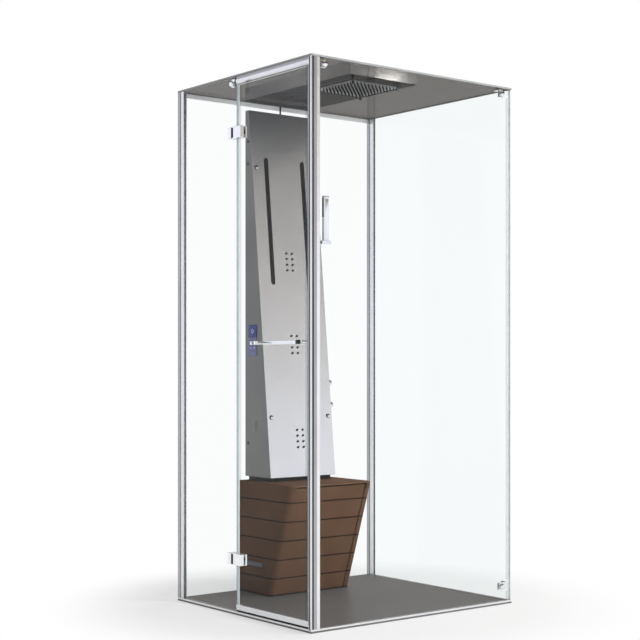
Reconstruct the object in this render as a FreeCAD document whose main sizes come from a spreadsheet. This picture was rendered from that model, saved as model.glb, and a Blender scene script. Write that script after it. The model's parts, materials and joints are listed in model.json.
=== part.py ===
"""Steam shower cabin: glass enclosure, leaning shower column, seat with steam boiler, rain head.

Millimetres. X runs along the wall to the right, Y runs towards the wall, Z is up.
The origin is the centre of the tray's underside.
"""
import FreeCAD, Part
import math
import os
from types import SimpleNamespace

import Sketcher

Vector = FreeCAD.Vector
Rotation = FreeCAD.Rotation

SIZES = {
    # Whole cabin
    "cabin_width": 1084,
    "cabin_depth": 940,
    "roof_top": 2200,
    "glass_thick": 8,
    "pane_inset": 4,
    "glass_play": 0.5,
    "slide_gap": 0.3,
    "pane_corner_gap": 0.3,
    # Tray and the rails that carry the panes
    "tray_thick": 12,
    "rail_width": 16,
    "rebate_depth": 5,
    "rail_above_tray": 2,
    "rail_groove_depth": 3,
    # Waste in the tray, beside the seat
    "drain_x": 285,
    "drain_from_wall": 72,
    "drain_bore_r": 25,
    "drain_sleeve_wall": 11,
    "drain_ledge": 7,
    "drain_ledge_depth": 3.5,
    "drain_flange_r": 41.5,
    "drain_flange_thick": 2.5,
    "drain_foot_gap": 0.5,
    "cover_thick": 3,
    "cover_below_tray": 0.2,
    "cover_collar_wall": 2.5,
    "cover_slot_width": 5,
    "cover_slot_length": 16,
    "cover_slot_count": 6,
    # Post between the door and the front pane
    "post_width": 42,
    "post_depth": 17,
    "post_front_groove_at": 4,
    "post_front_groove_width": 9,
    "post_groove_depth": 4,
    "post_side_groove_at": 2.6,
    "post_side_groove_width": 6.1,
    "post_side_groove_depth": 2,
    "post_slot_depth": 12,
    "post_wall": 3,
    # Profiles against the wall
    "channel_depth": 20,
    "channel_wall": 1.7,
    "channel_web": 2.5,
    "channel_screw_r": 2.5,
    "low_wall_screw_height": 300,
    "high_wall_screw_height": 1900,
    "infill_front_from_wall": 46,
    "infill_nose": 13,
    "infill_neck_end_from_wall": 8,
    "infill_slot": 22,
    # Rail over the door and rail over the back
    "header_height": 26,
    "header_face": 14,
    "header_step": 3,
    "header_chamber_wall": 3,
    "rear_rail_height": 18,
    "rear_rail_depth": 10,
    # Fixed side pane and door
    "side_pane_front": 30,
    "door_hinge_edge": 21,
    "door_lock_edge_gap": 12,
    "door_glass_foot": 26,
    "door_glass_top_gap": 34,
    "door_rail_foot": 21,
    "door_rail_top": 44,
    "door_rail_lip": 10,
    "door_rail_step": 2,
    "door_rail_hinge_gap": 1,
    "door_rail_lock_gap": 3,
    "wiper_gap": 0.6,
    "wiper_top_width": 12,
    "wiper_tip_width": 6,
    "seal_wall": 2.7,
    "seal_arm": 10,
    "seal_foot_gap": 0.3,
    "seal_head_gap": 2,
    "seal_hinge_gap": 0.5,
    "hinge_seal_arm": 8,
    "hinge_seal_gap": 0.7,
    "magnet_thick": 2,
    "magnet_width": 12,
    # Hinges
    "low_hinge_height": 228,
    "high_hinge_height": 1963,
    "hinge_height": 47,
    "hinge_block_thick": 16,
    "hinge_gasket": 0.6,
    "hinge_plate_thick": 8,
    "hinge_pivot_out": 11.6,
    "hinge_pivot_y": 40.5,
    "hinge_leaf_gap": 7.5,
    "frame_leaf_length": 26,
    "door_leaf_length": 53,
    "door_plate_length": 40,
    "door_plate_inset": 1,
    "hinge_pin_r": 3,
    "hinge_pin_play": 0.05,
    "hinge_barrel_r": 5,
    "hinge_arm_thick": 3.5,
    "hinge_screw_r": 4,
    "hinge_hole_play": 2,
    "hinge_screw_spread": 24,
    # Handle, a square bar inside the door with its fixings outside
    "handle_bar": 15,
    "handle_standoff": 26,
    "handle_height": 1107,
    "handle_rear_inset": 35,
    "handle_front_inset": 72,
    "handle_rear_foot_inset": 86,
    "handle_front_foot_inset": 8,
    "handle_foot_r": 6,
    "handle_bolt_r": 4,
    "handle_bolt_play": 0.1,
    "handle_bolt_grip": 12,
    "handle_hole_play": 1,
    "knob_square": 16,
    "knob_out": 14,
    "knob_round_r": 8,
    "knob_round_out": 4,
    # Round glass connectors
    "cap_r": 12.5,
    "cap_rim": 4,
    "cap_dome": 3,
    "cap_dome_r": 9,
    "cap_bolt_r": 5,
    "cap_hole_play": 2,
    "cap_bolt_play": 0.2,
    "top_cap_thick": 2,
    "bracket_width": 24,
    "bracket_thick": 6,
    "bracket_reach": 33,
    "bracket_drop": 36,
    "connector_left_inset": 68,
    "connector_right_inset": 53,
    "connector_below_roof": 22,
    "connector_side_y": 69,
    "corner_connector_inset": 56,
    "corner_connector_centre_height": 76,
    "corner_connector_height": 30,
    "corner_bead": 6,
    "corner_bead_gap": 10,
    # Rain box on the roof and the water plate that hangs through it
    "axis_x": -4,
    "box_half_width": 185,
    "box_length": 740,
    "box_height": 55,
    "box_wall": 1.5,
    "plate_thick": 4,
    "plate_below_roof": 3,
    "plate_from_wall": 562,
    "plate_hole_play": 1,
    "chamber_inset": 3,
    "chamber_height": 45,
    "chamber_wall": 3,
    "chamber_flange": 14,
    "chamber_flange_thick": 3,
    "nozzle_rows": 12,
    "nozzle_pitch": 20,
    "nozzle_length": 12,
    "nozzle_root_r": 2.6,
    "nozzle_tip_r": 1.6,
    "stud_from_nozzles": 12,
    "stud_inset": 9,
    "stud_r": 5,
    "stud_length": 15,
    "feed_pipe_r": 5,
    "feed_pipe_wall": 1,
    "feed_pipe_from_wall": 16,
    "feed_pipe_start": 2120,
    "feed_pipe_rise": 25,
    "feed_bend": 20,
    "feed_hole_play": 2,
    # Leaning shower column
    "column_half_width": 181.5,
    "column_foot": 520,
    "column_top": 2155,
    "column_foot_depth": 193,
    "column_top_depth": 27,
    "column_wall": 3,
    "backplate_thick": 4,
    "column_foot_inset": 17,
    "light_offset": 101.5,
    "light_width": 14,
    "light_foot": 1377,
    "light_top": 1943,
    "light_thick": 5,
    "light_play": 0.2,
    "light_recess": 0.5,
    "jet_r": 5.5,
    "jet_proud": 1,
    "jet_depth": 8,
    "jet_play": 0.2,
    "jet_pitch_x": 31,
    "jet_pitch_z": 25.5,
    "jet_rows": 4,
    "jet_centre_x": -9.5,
    "low_jets_height": 689,
    "middle_jets_height": 1108,
    "high_jets_height": 1480,
    "manifold_width": 58,
    "manifold_height": 104,
    "manifold_thick": 22,
    "nut_offset": 159,
    "low_nut_height": 786,
    "high_nut_height": 1898,
    "nut_r": 9.5,
    "nut_rim": 3,
    "nut_stud_r": 3,
    "nut_stud_length": 12,
    "screw_from_wall": 21,
    "screw_head_r": 4,
    "screw_head_thick": 1.5,
    "screw_shank_r": 2,
    "screw_length": 9,
    "low_screw_height": 668,
    "middle_screw_height": 1915,
    "top_screw_height": 2015,
    "vent_from_wall": 85,
    "vent_height": 728,
    "vent_hole_r": 3,
    "vent_pitch": 12,
    "vent_rows": 4,
    "panel_near": 88,
    "panel_far": 27,
    "panel_foot": 1056,
    "panel_top": 1195,
    "panel_thick": 2.5,
    # Valves, their knobs and the pipes
    "mixer_height": 934,
    "diverter_below_mixer": 100,
    "valve_behind_face": 22,
    "valve_side": 34,
    "valve_length": 75,
    "spindle_r": 4,
    "spindle_play": 0.05,
    "spindle_hole_play": 2,
    "spindle_reach": 16,
    "knob_r": 13,
    "knob_length": 22,
    "knob_wall_gap": 0.5,
    "knob_socket": 16,
    "knob_bevel": 2,
    "inlet_height": 610,
    "inlet_spread": 50,
    "inlet_r": 11.5,
    "inlet_bore_r": 8,
    "inlet_length": 30,
    "inlet_bore_length": 16,
    "inlet_hole_play": 0.3,
    "pipe_r": 6,
    "pipe_wall": 1,
    "pipe_elbow": 1.5,
    "cold_pipe_from_wall": 70,
    "hot_pipe_behind_face": 31,
    "link_pipe_in": 20,
    # Hand shower
    "handset_x": 192,
    "handset_from_wall": 90,
    "handset_width": 32,
    "handset_depth": 15,
    "handset_foot": 1578,
    "handset_top": 1795,
    "handset_play": 0.3,
    "spray_foot": 1697,
    "spray_top": 1786,
    "spray_thick": 2,
    "spray_margin": 2,
    "holder_right_x": 232,
    "holder_margin": 6,
    "holder_top": 1588,
    "holder_height": 16,
    "holder_lug": 12,
    "holder_lug_width": 10,
    "socket_depth": 10,
    # Seat with the steam generator inside
    "seat_half_width": 222,
    "seat_foot": 16,
    "seat_top": 503,
    "seat_foot_depth": 242,
    "seat_top_depth": 405,
    "seat_corner_r": 22,
    "seat_edge_r": 6,
    "seat_wall": 10,
    "seat_top_wall": 8,
    "front_panel_thick": 12,
    "front_panel_gap": 5,
    "front_panel_right": 178,
    "front_panel_left_gap": 0.3,
    "slat_groove_width": 4,
    "slat_groove_depth": 3,
    "slat_pitch": 84,
    "slat_first": 92,
    "slat_count": 5,
    "plinth_inset": 5,
    "plinth_wall": 12,
    "outlet_near": 192,
    "outlet_far": 50,
    "outlet_height": 143,
    "outlet_slot": 20,
    "outlet_flange": 3,
    "outlet_margin": 4,
    "outlet_play": 0.3,
    "boiler_r": 62,
    "boiler_left": -150,
    "boiler_right": 90,
    "boiler_from_wall": 110,
    "boiler_height": 150,
    "boiler_wall": 4,
    "boiler_foot_width": 30,
    "boiler_foot_half": 50,
    "boiler_foot_inset": 30,
    "element_flange_r": 32,
    "element_flange_thick": 6,
    "element_hole_r": 26,
    "element_rod_r": 4.5,
    "element_rod_length": 180,
    "element_rod_spread": 18,
    "element_drop": 22,
    "steam_pipe_r": 6,
    "control_width": 78,
    "control_depth": 100,
    "control_foot": 120,
    "control_height": 140,
    "control_from_wall": 170,
    "gland_r": 9,
    "gland_bore_r": 4,
}

doc = FreeCAD.newDocument("SteamShowerCabin")
sheet = doc.addObject("Spreadsheet::Sheet", "Sizes")
for row, (alias, value) in enumerate(SIZES.items(), start=1):
    sheet.set(f"A{row}", alias)
    sheet.set(f"B{row}", str(value))
    sheet.setAlias(f"B{row}", alias)
doc.recompute()


class Size:
    """A length that knows its formula on the sheet and its value now."""

    def __init__(self, formula, value):
        self.formula = formula
        self.value = value

    def _with(self, sign, other, value):
        return Size(f"({self.formula} {sign} {other.formula})", value)

    def __add__(self, other):
        other = as_size(other)
        return self._with("+", other, self.value + other.value)

    def __sub__(self, other):
        other = as_size(other)
        return self._with("-", other, self.value - other.value)

    def __mul__(self, other):
        other = as_size(other)
        return self._with("*", other, self.value * other.value)

    def __truediv__(self, other):
        other = as_size(other)
        return self._with("/", other, self.value / other.value)

    def __neg__(self):
        return Size(f"(0 - {self.formula})", -self.value)


def as_size(number):
    """A plain number as a size; a size stays as it is."""
    if isinstance(number, Size):
        return number
    return Size(repr(number), number)


def hypotenuse(run, rise):
    """The slanted length over a run and a rise."""
    square = run * run + rise * rise
    return Size(f"sqrt{square.formula}", math.sqrt(square.value))


S = SimpleNamespace(**{alias: Size(f"Sizes.{alias}", value) for alias, value in SIZES.items()})
ZERO = as_size(0)

# Planes that many pieces share
HALF_WIDTH = S.cabin_width / 2
WALL_Y = S.cabin_depth / 2
FRONT_Y = -WALL_Y
LEFT_X = -HALF_WIDTH
ROOF_UNDER = S.roof_top - S.glass_thick
PANE_OUT = HALF_WIDTH - S.pane_inset
PANE_IN = PANE_OUT - S.glass_thick
FRONT_PANE_OUT = FRONT_Y + S.pane_inset
FRONT_PANE_IN = FRONT_PANE_OUT + S.glass_thick
GROOVE_IN = PANE_IN - S.glass_play
GROOVE_OUT = PANE_OUT + S.glass_play
RAIL_IN = HALF_WIDTH - S.rail_width
RAIL_FOOT = S.tray_thick - S.rebate_depth
RAIL_TOP = S.tray_thick + S.rail_above_tray
GLASS_FOOT = RAIL_TOP - S.rail_groove_depth
POST_RIGHT = LEFT_X + S.post_width
POST_BACK = FRONT_Y + S.post_depth
INFILL_FRONT = WALL_Y - S.infill_front_from_wall
PANE_BACK = INFILL_FRONT + S.infill_slot
HEADER_FOOT = ROOF_UNDER - S.header_height

# The hinge's pivot and the outer face of its blocks
PIVOT_X = -(PANE_OUT + S.hinge_pivot_out)
BLOCK_IN = -(PANE_OUT + S.hinge_gasket)
BLOCK_OUT = BLOCK_IN - S.hinge_block_thick
DOOR_LEAF_REAR = S.hinge_pivot_y - S.hinge_leaf_gap
DOOR_LEAF_FRONT = DOOR_LEAF_REAR - S.door_leaf_length
FRAME_LEAF_FRONT = S.hinge_pivot_y + S.hinge_leaf_gap
FRAME_LEAF_REAR = FRAME_LEAF_FRONT + S.frame_leaf_length
FRAME_SCREW_Y = (FRAME_LEAF_FRONT + FRAME_LEAF_REAR) / 2
DOOR_PLATE_REAR = S.door_hinge_edge - S.door_plate_inset
DOOR_PLATE_FRONT = DOOR_PLATE_REAR - S.door_plate_length
DOOR_SCREW_Y = (DOOR_PLATE_FRONT + DOOR_PLATE_REAR) / 2
HINGE_HEIGHTS = (S.low_hinge_height, S.high_hinge_height)
HANDLE_FRONT = FRONT_Y + S.handle_front_inset
HANDLE_REAR = S.door_hinge_edge - S.handle_rear_inset
HANDLE_FRONT_FOOT = HANDLE_FRONT + S.handle_front_foot_inset
HANDLE_REAR_FOOT = HANDLE_REAR - S.handle_rear_foot_inset
HANDLE_FEET = (HANDLE_FRONT_FOOT, HANDLE_REAR_FOOT)

# The door's own edges
DOOR_LOCK_EDGE = POST_BACK + S.door_lock_edge_gap
DOOR_GLASS_TOP = ROOF_UNDER - S.door_glass_top_gap
SEAL_FOOT = S.door_rail_top + S.seal_foot_gap
SEAL_HEAD = DOOR_GLASS_TOP - S.seal_head_gap
DOOR_FRONT = POST_BACK + S.door_rail_lock_gap
DOOR_REAR = S.side_pane_front - S.door_rail_hinge_gap

# The column's sloping face and the height of its lower knob
DIVERTER_HEIGHT = S.mixer_height - S.diverter_below_mixer
COLUMN_LEFT = S.axis_x - S.column_half_width
COLUMN_RIGHT = S.axis_x + S.column_half_width
COLUMN_BACK = WALL_Y - S.backplate_thick
COLUMN_RUN = S.column_foot_depth - S.column_top_depth
COLUMN_RISE = S.column_top - S.column_foot
COLUMN_SLANT = hypotenuse(COLUMN_RUN, COLUMN_RISE)
LEAN_SIN = COLUMN_RUN / COLUMN_SLANT
LEAN_COS = COLUMN_RISE / COLUMN_SLANT
LEAN_TAN = COLUMN_RUN / COLUMN_RISE

# The seat's sloping front
SEAT_LEFT = S.axis_x - S.seat_half_width
SEAT_RIGHT = S.axis_x + S.seat_half_width
SEAT_TAN = (S.seat_top_depth - S.seat_foot_depth) / (S.seat_top - S.seat_foot)
PANEL_TOP = S.seat_top - S.seat_top_wall - S.front_panel_gap
PANEL_LEFT = SEAT_LEFT + S.seat_corner_r + S.front_panel_left_gap

# The water plate in the roof
PLATE_Y = WALL_Y - S.plate_from_wall
STUD_REACH = S.nozzle_pitch * (S.nozzle_rows - 1) / 2 + S.stud_from_nozzles
PLATE_HALF = STUD_REACH + S.stud_inset
PLATE_FOOT = ROOF_UNDER - S.plate_below_roof
PLATE_TOP = PLATE_FOOT + S.plate_thick
CHAMBER_HALF = PLATE_HALF - S.chamber_inset

# Round connectors: heights, places on the front pane and bolts in the roof
CAP_Z = ROOF_UNDER - S.connector_below_roof
BRACKET_IN = FRONT_PANE_IN + S.bracket_reach
ROOF_BOLT_IN = S.bracket_reach - S.bracket_width / 2
CONNECTOR_LEFT_X = LEFT_X + S.connector_left_inset
CONNECTOR_RIGHT_X = HALF_WIDTH - S.connector_right_inset
CORNER_CONNECTOR_X = HALF_WIDTH - S.corner_connector_inset
CORNER_CONNECTOR_Z = S.corner_connector_centre_height
FRONT_CONNECTORS = (
    (CONNECTOR_LEFT_X, CAP_Z),
    (CONNECTOR_RIGHT_X, CAP_Z),
    (CORNER_CONNECTOR_X, CORNER_CONNECTOR_Z),
)
ROOF_BOLTS = (
    (CONNECTOR_LEFT_X, FRONT_PANE_IN + ROOF_BOLT_IN),
    (CONNECTOR_RIGHT_X, FRONT_PANE_IN + ROOF_BOLT_IN),
    (-PANE_IN + ROOF_BOLT_IN, S.connector_side_y),
)
CORNER_BOLT_Y = FRONT_PANE_IN + ROOF_BOLT_IN

nodes = []


def node(label, piece):
    """Name a finished sub-part and keep it for the hand-over."""
    piece.Label = label
    nodes.append(piece)
    return piece


def bind(piece, prop, size):
    """Tie a property of a piece to its formula."""
    piece.setExpression(prop, as_size(size).formula)


DIRECTIONS = {
    "+x": Rotation(Vector(0, 1, 0), 90),
    "-x": Rotation(Vector(0, 1, 0), -90),
    "+y": Rotation(Vector(1, 0, 0), -90),
    "-y": Rotation(Vector(1, 0, 0), 90),
    "+z": Rotation(),
    "-z": Rotation(Vector(1, 0, 0), 180),
}


def place(piece, at, rotation=None):
    """Put a piece's own origin at a point, with each coordinate tied."""
    piece.Placement = FreeCAD.Placement(Vector(0, 0, 0), rotation or Rotation())
    for axis, size in zip("xyz", at):
        bind(piece, f"Placement.Base.{axis}", size)
    return piece


def block(name, x, y, z):
    """A box between two planes on each axis."""
    piece = doc.addObject("Part::Box", name)
    for prop, (low, high) in zip(("Length", "Width", "Height"), (x, y, z)):
        bind(piece, prop, as_size(high) - low)
    return place(piece, (x[0], y[0], z[0]))


def around(middle, half):
    """The span that reaches half a size to each side of a middle."""
    return (as_size(middle) - half, as_size(middle) + half)


def rod(name, radius, start, direction, length):
    """A cylinder that starts at a point and runs along an axis."""
    piece = doc.addObject("Part::Cylinder", name)
    bind(piece, "Radius", radius)
    bind(piece, "Height", length)
    return place(piece, start, DIRECTIONS[direction])


def cone(name, root, tip, start, direction, length):
    """A tapered round piece that starts at a point and runs along an axis."""
    piece = doc.addObject("Part::Cone", name)
    bind(piece, "Radius1", root)
    bind(piece, "Radius2", tip)
    bind(piece, "Height", length)
    return place(piece, start, DIRECTIONS[direction])


def ball(name, radius, at):
    """A sphere."""
    piece = doc.addObject("Part::Sphere", name)
    bind(piece, "Radius", radius)
    return place(piece, at)


def joined(name, *pieces):
    """Pieces made as one."""
    piece = doc.addObject("Part::MultiFuse", name)
    piece.Shapes = list(pieces)
    return piece


def group(name, *pieces):
    """Separate solids that share a node."""
    piece = doc.addObject("Part::Compound", name)
    piece.Links = list(pieces)
    return piece


def cut(name, base, *tools):
    """A piece with one or more shapes taken out of it."""
    piece = doc.addObject("Part::Cut", name)
    piece.Base = base
    piece.Tool = tools[0] if len(tools) == 1 else joined(f"{name}Tools", *tools)
    return piece


BAR_TURNS = {
    "x": Rotation(Vector(1, 1, 1), 120),
    "y": Rotation(Vector(1, 0, 0), 90),
    "z": Rotation(),
}


def add_loop(sketch, points):
    """Draw a closed outline whose corners are each tied in both directions."""
    first = sketch.GeometryCount
    count = len(points)
    corners = [Vector(as_size(u).value, as_size(v).value, 0) for u, v in points]
    for index in range(count):
        sketch.addGeometry(Part.LineSegment(corners[index], corners[(index + 1) % count]), False)
    for index in range(count):
        line = first + index
        following = first + (index + 1) % count
        sketch.addConstraint(Sketcher.Constraint("Coincident", line, 2, following, 1))
    for index, (u, v) in enumerate(points):
        for kind, size in (("DistanceX", as_size(u)), ("DistanceY", as_size(v))):
            constraint = Sketcher.Constraint(kind, -1, 1, first + index, 1, size.value)
            number = sketch.addConstraint(constraint)
            bind(sketch, f"Constraints[{number}]", size)


def bar(name, along, span, *loops):
    """A straight profile: outlines drawn across an axis and padded along it.

    Along z the outline is (x, y), along y it is (x, z) and along x it is (y, z).
    """
    low, high = as_size(span[0]), as_size(span[1])
    body = doc.addObject("PartDesign::Body", name)
    sketch = body.newObject("Sketcher::SketchObject", f"{name}Section")
    plane = next(item for item in body.Origin.OriginFeatures if item.Role == "XY_Plane")
    sketch.AttachmentSupport = [(plane, "")]
    sketch.MapMode = "FlatFace"
    for points in loops:
        add_loop(sketch, points)
    pad = body.newObject("PartDesign::Pad", f"{name}Pad")
    pad.Profile = sketch
    bind(pad, "Length", high - low)
    start = {"x": (low, ZERO, ZERO), "y": (ZERO, high, ZERO), "z": (ZERO, ZERO, low)}[along]
    return place(body, start, BAR_TURNS[along])


def rectangle(u, v):
    """The four corners between two spans."""
    return ((u[0], v[0]), (u[1], v[0]), (u[1], v[1]), (u[0], v[1]))


def mirrored(points):
    """An outline on the other side of the middle plane."""
    return tuple((-as_size(x), y) for x, y in reversed(points))


def build_tray():
    """Tray slab with a stepped edge for the rails and a stepped hole for the waste."""
    slab = block("TraySlab", (LEFT_X, HALF_WIDTH), (FRONT_Y, WALL_Y), (ZERO, S.tray_thick))
    step = (RAIL_FOOT, S.tray_thick)
    front = block("TrayFrontStep", (LEFT_X, HALF_WIDTH), (FRONT_Y, FRONT_Y + S.rail_width), step)
    left = block("TrayLeftStep", (LEFT_X, -RAIL_IN), (FRONT_Y, WALL_Y), step)
    right = block("TrayRightStep", (RAIL_IN, HALF_WIDTH), (FRONT_Y, WALL_Y), step)
    drain = (S.drain_x, WALL_Y - S.drain_from_wall)
    ledge = S.tray_thick - S.cover_below_tray - S.cover_thick - S.slide_gap - S.drain_flange_thick
    recess_r = S.drain_flange_r + S.slide_gap
    recess = rod("TrayRecess", recess_r, (*drain, ledge), "+z", S.tray_thick - ledge)
    sleeve_r = S.drain_bore_r + S.drain_sleeve_wall + S.slide_gap
    hole = rod("TrayHole", sleeve_r, (*drain, ZERO), "+z", S.tray_thick)
    node("shower_tray", cut("Tray", slab, front, left, right, recess, hole))

    flange_top = ledge + S.drain_flange_thick
    flange = rod("WasteFlange", S.drain_flange_r, (*drain, ledge), "+z", S.drain_flange_thick)
    sleeve = rod("WasteSleeve", S.drain_bore_r + S.drain_sleeve_wall, (*drain, S.drain_foot_gap),
                 "+z", flange_top - S.drain_foot_gap)
    bore = rod("WasteBore", S.drain_bore_r, (*drain, ZERO), "+z", S.tray_thick)
    ledge_r = S.drain_bore_r + S.drain_ledge
    seat_foot = flange_top - S.drain_ledge_depth
    seat = rod("WasteSeat", ledge_r, (*drain, seat_foot), "+z", S.drain_ledge_depth)
    node("waste_body", cut("Waste", joined("WasteRound", flange, sleeve), bore, seat))

    cover_foot = flange_top + S.slide_gap
    disc = rod("CoverDisc", S.drain_flange_r - S.slide_gap, (*drain, cover_foot), "+z", S.cover_thick)
    collar_r = ledge_r - S.slide_gap
    collar_foot = seat_foot + S.slide_gap
    collar = rod("CoverCollar", collar_r, (*drain, collar_foot), "+z", cover_foot - collar_foot)
    inside = rod("CoverInside", collar_r - S.cover_collar_wall, (*drain, collar_foot), "+z",
                 cover_foot - collar_foot)
    ring = cut("CoverRing", collar, inside)
    slots = []
    for index in range(int(S.cover_slot_count.value)):
        slot = doc.addObject("Part::Box", f"CoverSlot{index}")
        bind(slot, "Length", S.cover_slot_length)
        bind(slot, "Width", S.cover_slot_width)
        bind(slot, "Height", S.cover_thick)
        turn = Rotation(Vector(0, 0, 1), 360 * index / S.cover_slot_count.value)
        inner = turn.multVec(Vector(S.cover_slot_width.value, -S.cover_slot_width.value / 2, 0))
        reach = S.cover_slot_width
        place(slot, (drain[0] + reach * (inner.x / reach.value),
                     drain[1] + reach * (inner.y / reach.value), cover_foot), turn)
        slots.append(slot)
    node("drain_cover", cut("Cover", joined("CoverRound", disc, ring), *slots))


def build_rails():
    """Three edge rails on the tray, each with a groove for its pane."""
    along_z = (RAIL_FOOT, RAIL_TOP)
    front_back = FRONT_Y + S.rail_width
    front = bar("FrontRail", "x", (LEFT_X, HALF_WIDTH), (
        (FRONT_Y, RAIL_FOOT), (front_back, RAIL_FOOT), (front_back, RAIL_TOP),
        (FRONT_PANE_IN + S.glass_play, RAIL_TOP), (FRONT_PANE_IN + S.glass_play, GLASS_FOOT),
        (FRONT_PANE_OUT - S.glass_play, GLASS_FOOT), (FRONT_PANE_OUT - S.glass_play, RAIL_TOP),
        (FRONT_Y, RAIL_TOP)))
    side_y = (front_back, WALL_Y)
    groove_end = PANE_BACK + S.glass_play
    left = block("LeftRail", (LEFT_X, -RAIL_IN), side_y, along_z)
    left_groove = block("LeftRailGroove", (-GROOVE_OUT, -GROOVE_IN),
                        (S.side_pane_front - S.glass_play, groove_end), (GLASS_FOOT, RAIL_TOP))
    right = block("RightRail", (RAIL_IN, HALF_WIDTH), side_y, along_z)
    right_groove = block("RightRailGroove", (GROOVE_IN, GROOVE_OUT),
                         (front_back, groove_end), (GLASS_FOOT, RAIL_TOP))
    corner_notch = block("FrontRailNotch", (GROOVE_IN, GROOVE_OUT), (FRONT_PANE_IN, front_back),
                         (GLASS_FOOT, RAIL_TOP))
    node("base_rails", group("Rails", cut("FrontRailCut", front, corner_notch),
                             cut("LeftRailCut", left, left_groove),
                             cut("RightRailCut", right, right_groove)))


def build_post():
    """Upright between the door and the front pane, with decorative grooves and a pane slot."""
    groove_left = LEFT_X + S.post_front_groove_at
    groove_right = groove_left + S.post_front_groove_width
    groove_back = FRONT_Y + S.post_groove_depth
    slot_left = POST_RIGHT - S.post_slot_depth
    slot_front = FRONT_PANE_OUT - S.glass_play
    slot_back = FRONT_PANE_IN + S.glass_play
    side_back = POST_BACK - S.post_side_groove_at
    side_front = side_back - S.post_side_groove_width
    side_in = LEFT_X + S.post_side_groove_depth
    outline = (
        (LEFT_X, FRONT_Y), (groove_left, FRONT_Y), (groove_left, groove_back),
        (groove_right, groove_back), (groove_right, FRONT_Y), (POST_RIGHT, FRONT_Y),
        (POST_RIGHT, slot_front), (slot_left, slot_front), (slot_left, slot_back),
        (POST_RIGHT, slot_back), (POST_RIGHT, POST_BACK), (LEFT_X, POST_BACK),
        (LEFT_X, side_back), (side_in, side_back), (side_in, side_front), (LEFT_X, side_front))
    chamber = rectangle((side_in + S.post_wall, slot_left - S.post_wall),
                        (groove_back + S.post_wall, POST_BACK - S.post_wall))
    node("corner_post", bar("Post", "z", (RAIL_TOP, ROOF_UNDER), outline, chamber))

    magnet_left = -(PANE_OUT + PANE_IN) / 2 - S.magnet_width / 2
    node("strike_magnet", block(
        "StrikeMagnet", (magnet_left, magnet_left + S.magnet_width),
        (POST_BACK, POST_BACK + S.magnet_thick), (SEAL_FOOT, SEAL_HEAD)))


def build_wall_profiles():
    """A channel screwed to the wall on each side, and the infill that slides out of it."""
    channel_front = WALL_Y - S.channel_depth
    channel_in = RAIL_IN + S.channel_wall
    channel_out = HALF_WIDTH - S.channel_wall
    web = WALL_Y - S.channel_web
    channel = ((HALF_WIDTH, channel_front), (HALF_WIDTH, WALL_Y), (RAIL_IN, WALL_Y),
               (RAIL_IN, channel_front), (channel_in, channel_front), (channel_in, web),
               (channel_out, web), (channel_out, channel_front))
    nose_back = INFILL_FRONT + S.infill_nose
    neck_in = channel_in + S.slide_gap
    neck_out = channel_out - S.slide_gap
    neck_back = WALL_Y - S.infill_neck_end_from_wall
    slot_back = PANE_BACK + S.glass_play
    infill = ((GROOVE_OUT, INFILL_FRONT), (HALF_WIDTH, INFILL_FRONT), (HALF_WIDTH, nose_back),
              (neck_out, nose_back), (neck_out, neck_back), (neck_in, neck_back),
              (neck_in, nose_back), (RAIL_IN, nose_back), (RAIL_IN, INFILL_FRONT),
              (GROOVE_IN, INFILL_FRONT), (GROOVE_IN, slot_back), (GROOVE_OUT, slot_back))
    upright = (RAIL_TOP, ROOF_UNDER)
    channels, infills = [], []
    for side, turn in (("left", mirrored), ("right", tuple)):
        profile = bar(f"{side.title()}Channel", "z", upright, turn(channel))
        middle = (HALF_WIDTH + RAIL_IN) / 2
        x = -middle if side == "left" else middle
        screws = [rod(f"{side.title()}WallScrew{level}", S.channel_screw_r, (x, web, z), "+y",
                      S.channel_web)
                  for level, z in enumerate((S.low_wall_screw_height, S.high_wall_screw_height))]
        channels.append(cut(f"{side.title()}ChannelCut", profile, *screws))
        infills.append(bar(f"{side.title()}Infill", "z", upright, turn(infill)))
    node("wall_channels", group("Channels", *channels))
    node("infill_profiles", group("Infills", *infills))


def build_head_rails():
    """Rail over the door and rail along the wall under the roof."""
    step = LEFT_X + S.header_step
    face_top = HEADER_FOOT + S.header_face
    rail_right = -RAIL_IN
    outline = ((LEFT_X, HEADER_FOOT), (rail_right, HEADER_FOOT), (rail_right, ROOF_UNDER),
               (step, ROOF_UNDER), (step, face_top), (LEFT_X, face_top))
    wall = S.header_chamber_wall
    chamber = rectangle((step + wall, rail_right - wall), (HEADER_FOOT + wall, face_top - wall))
    node("header_rail", bar("Header", "y", (POST_BACK, S.side_pane_front), outline, chamber))
    node("rear_head_rail", bar("RearHead", "x", (-RAIL_IN, RAIL_IN), rectangle(
        (WALL_Y - S.rear_rail_depth, WALL_Y), (ROOF_UNDER - S.rear_rail_height, ROOF_UNDER))))


def hinge_holes(name, y):
    """Holes through the left glass for both screws of both hinges."""
    radius = S.hinge_screw_r + S.hinge_hole_play
    return [rod(f"{name}{level}{step}", radius, (-PANE_IN, y, z + S.hinge_screw_spread * step / 2),
                "-x", S.glass_thick)
            for level, z in enumerate(HINGE_HEIGHTS) for step in (-1, 1)]


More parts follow.
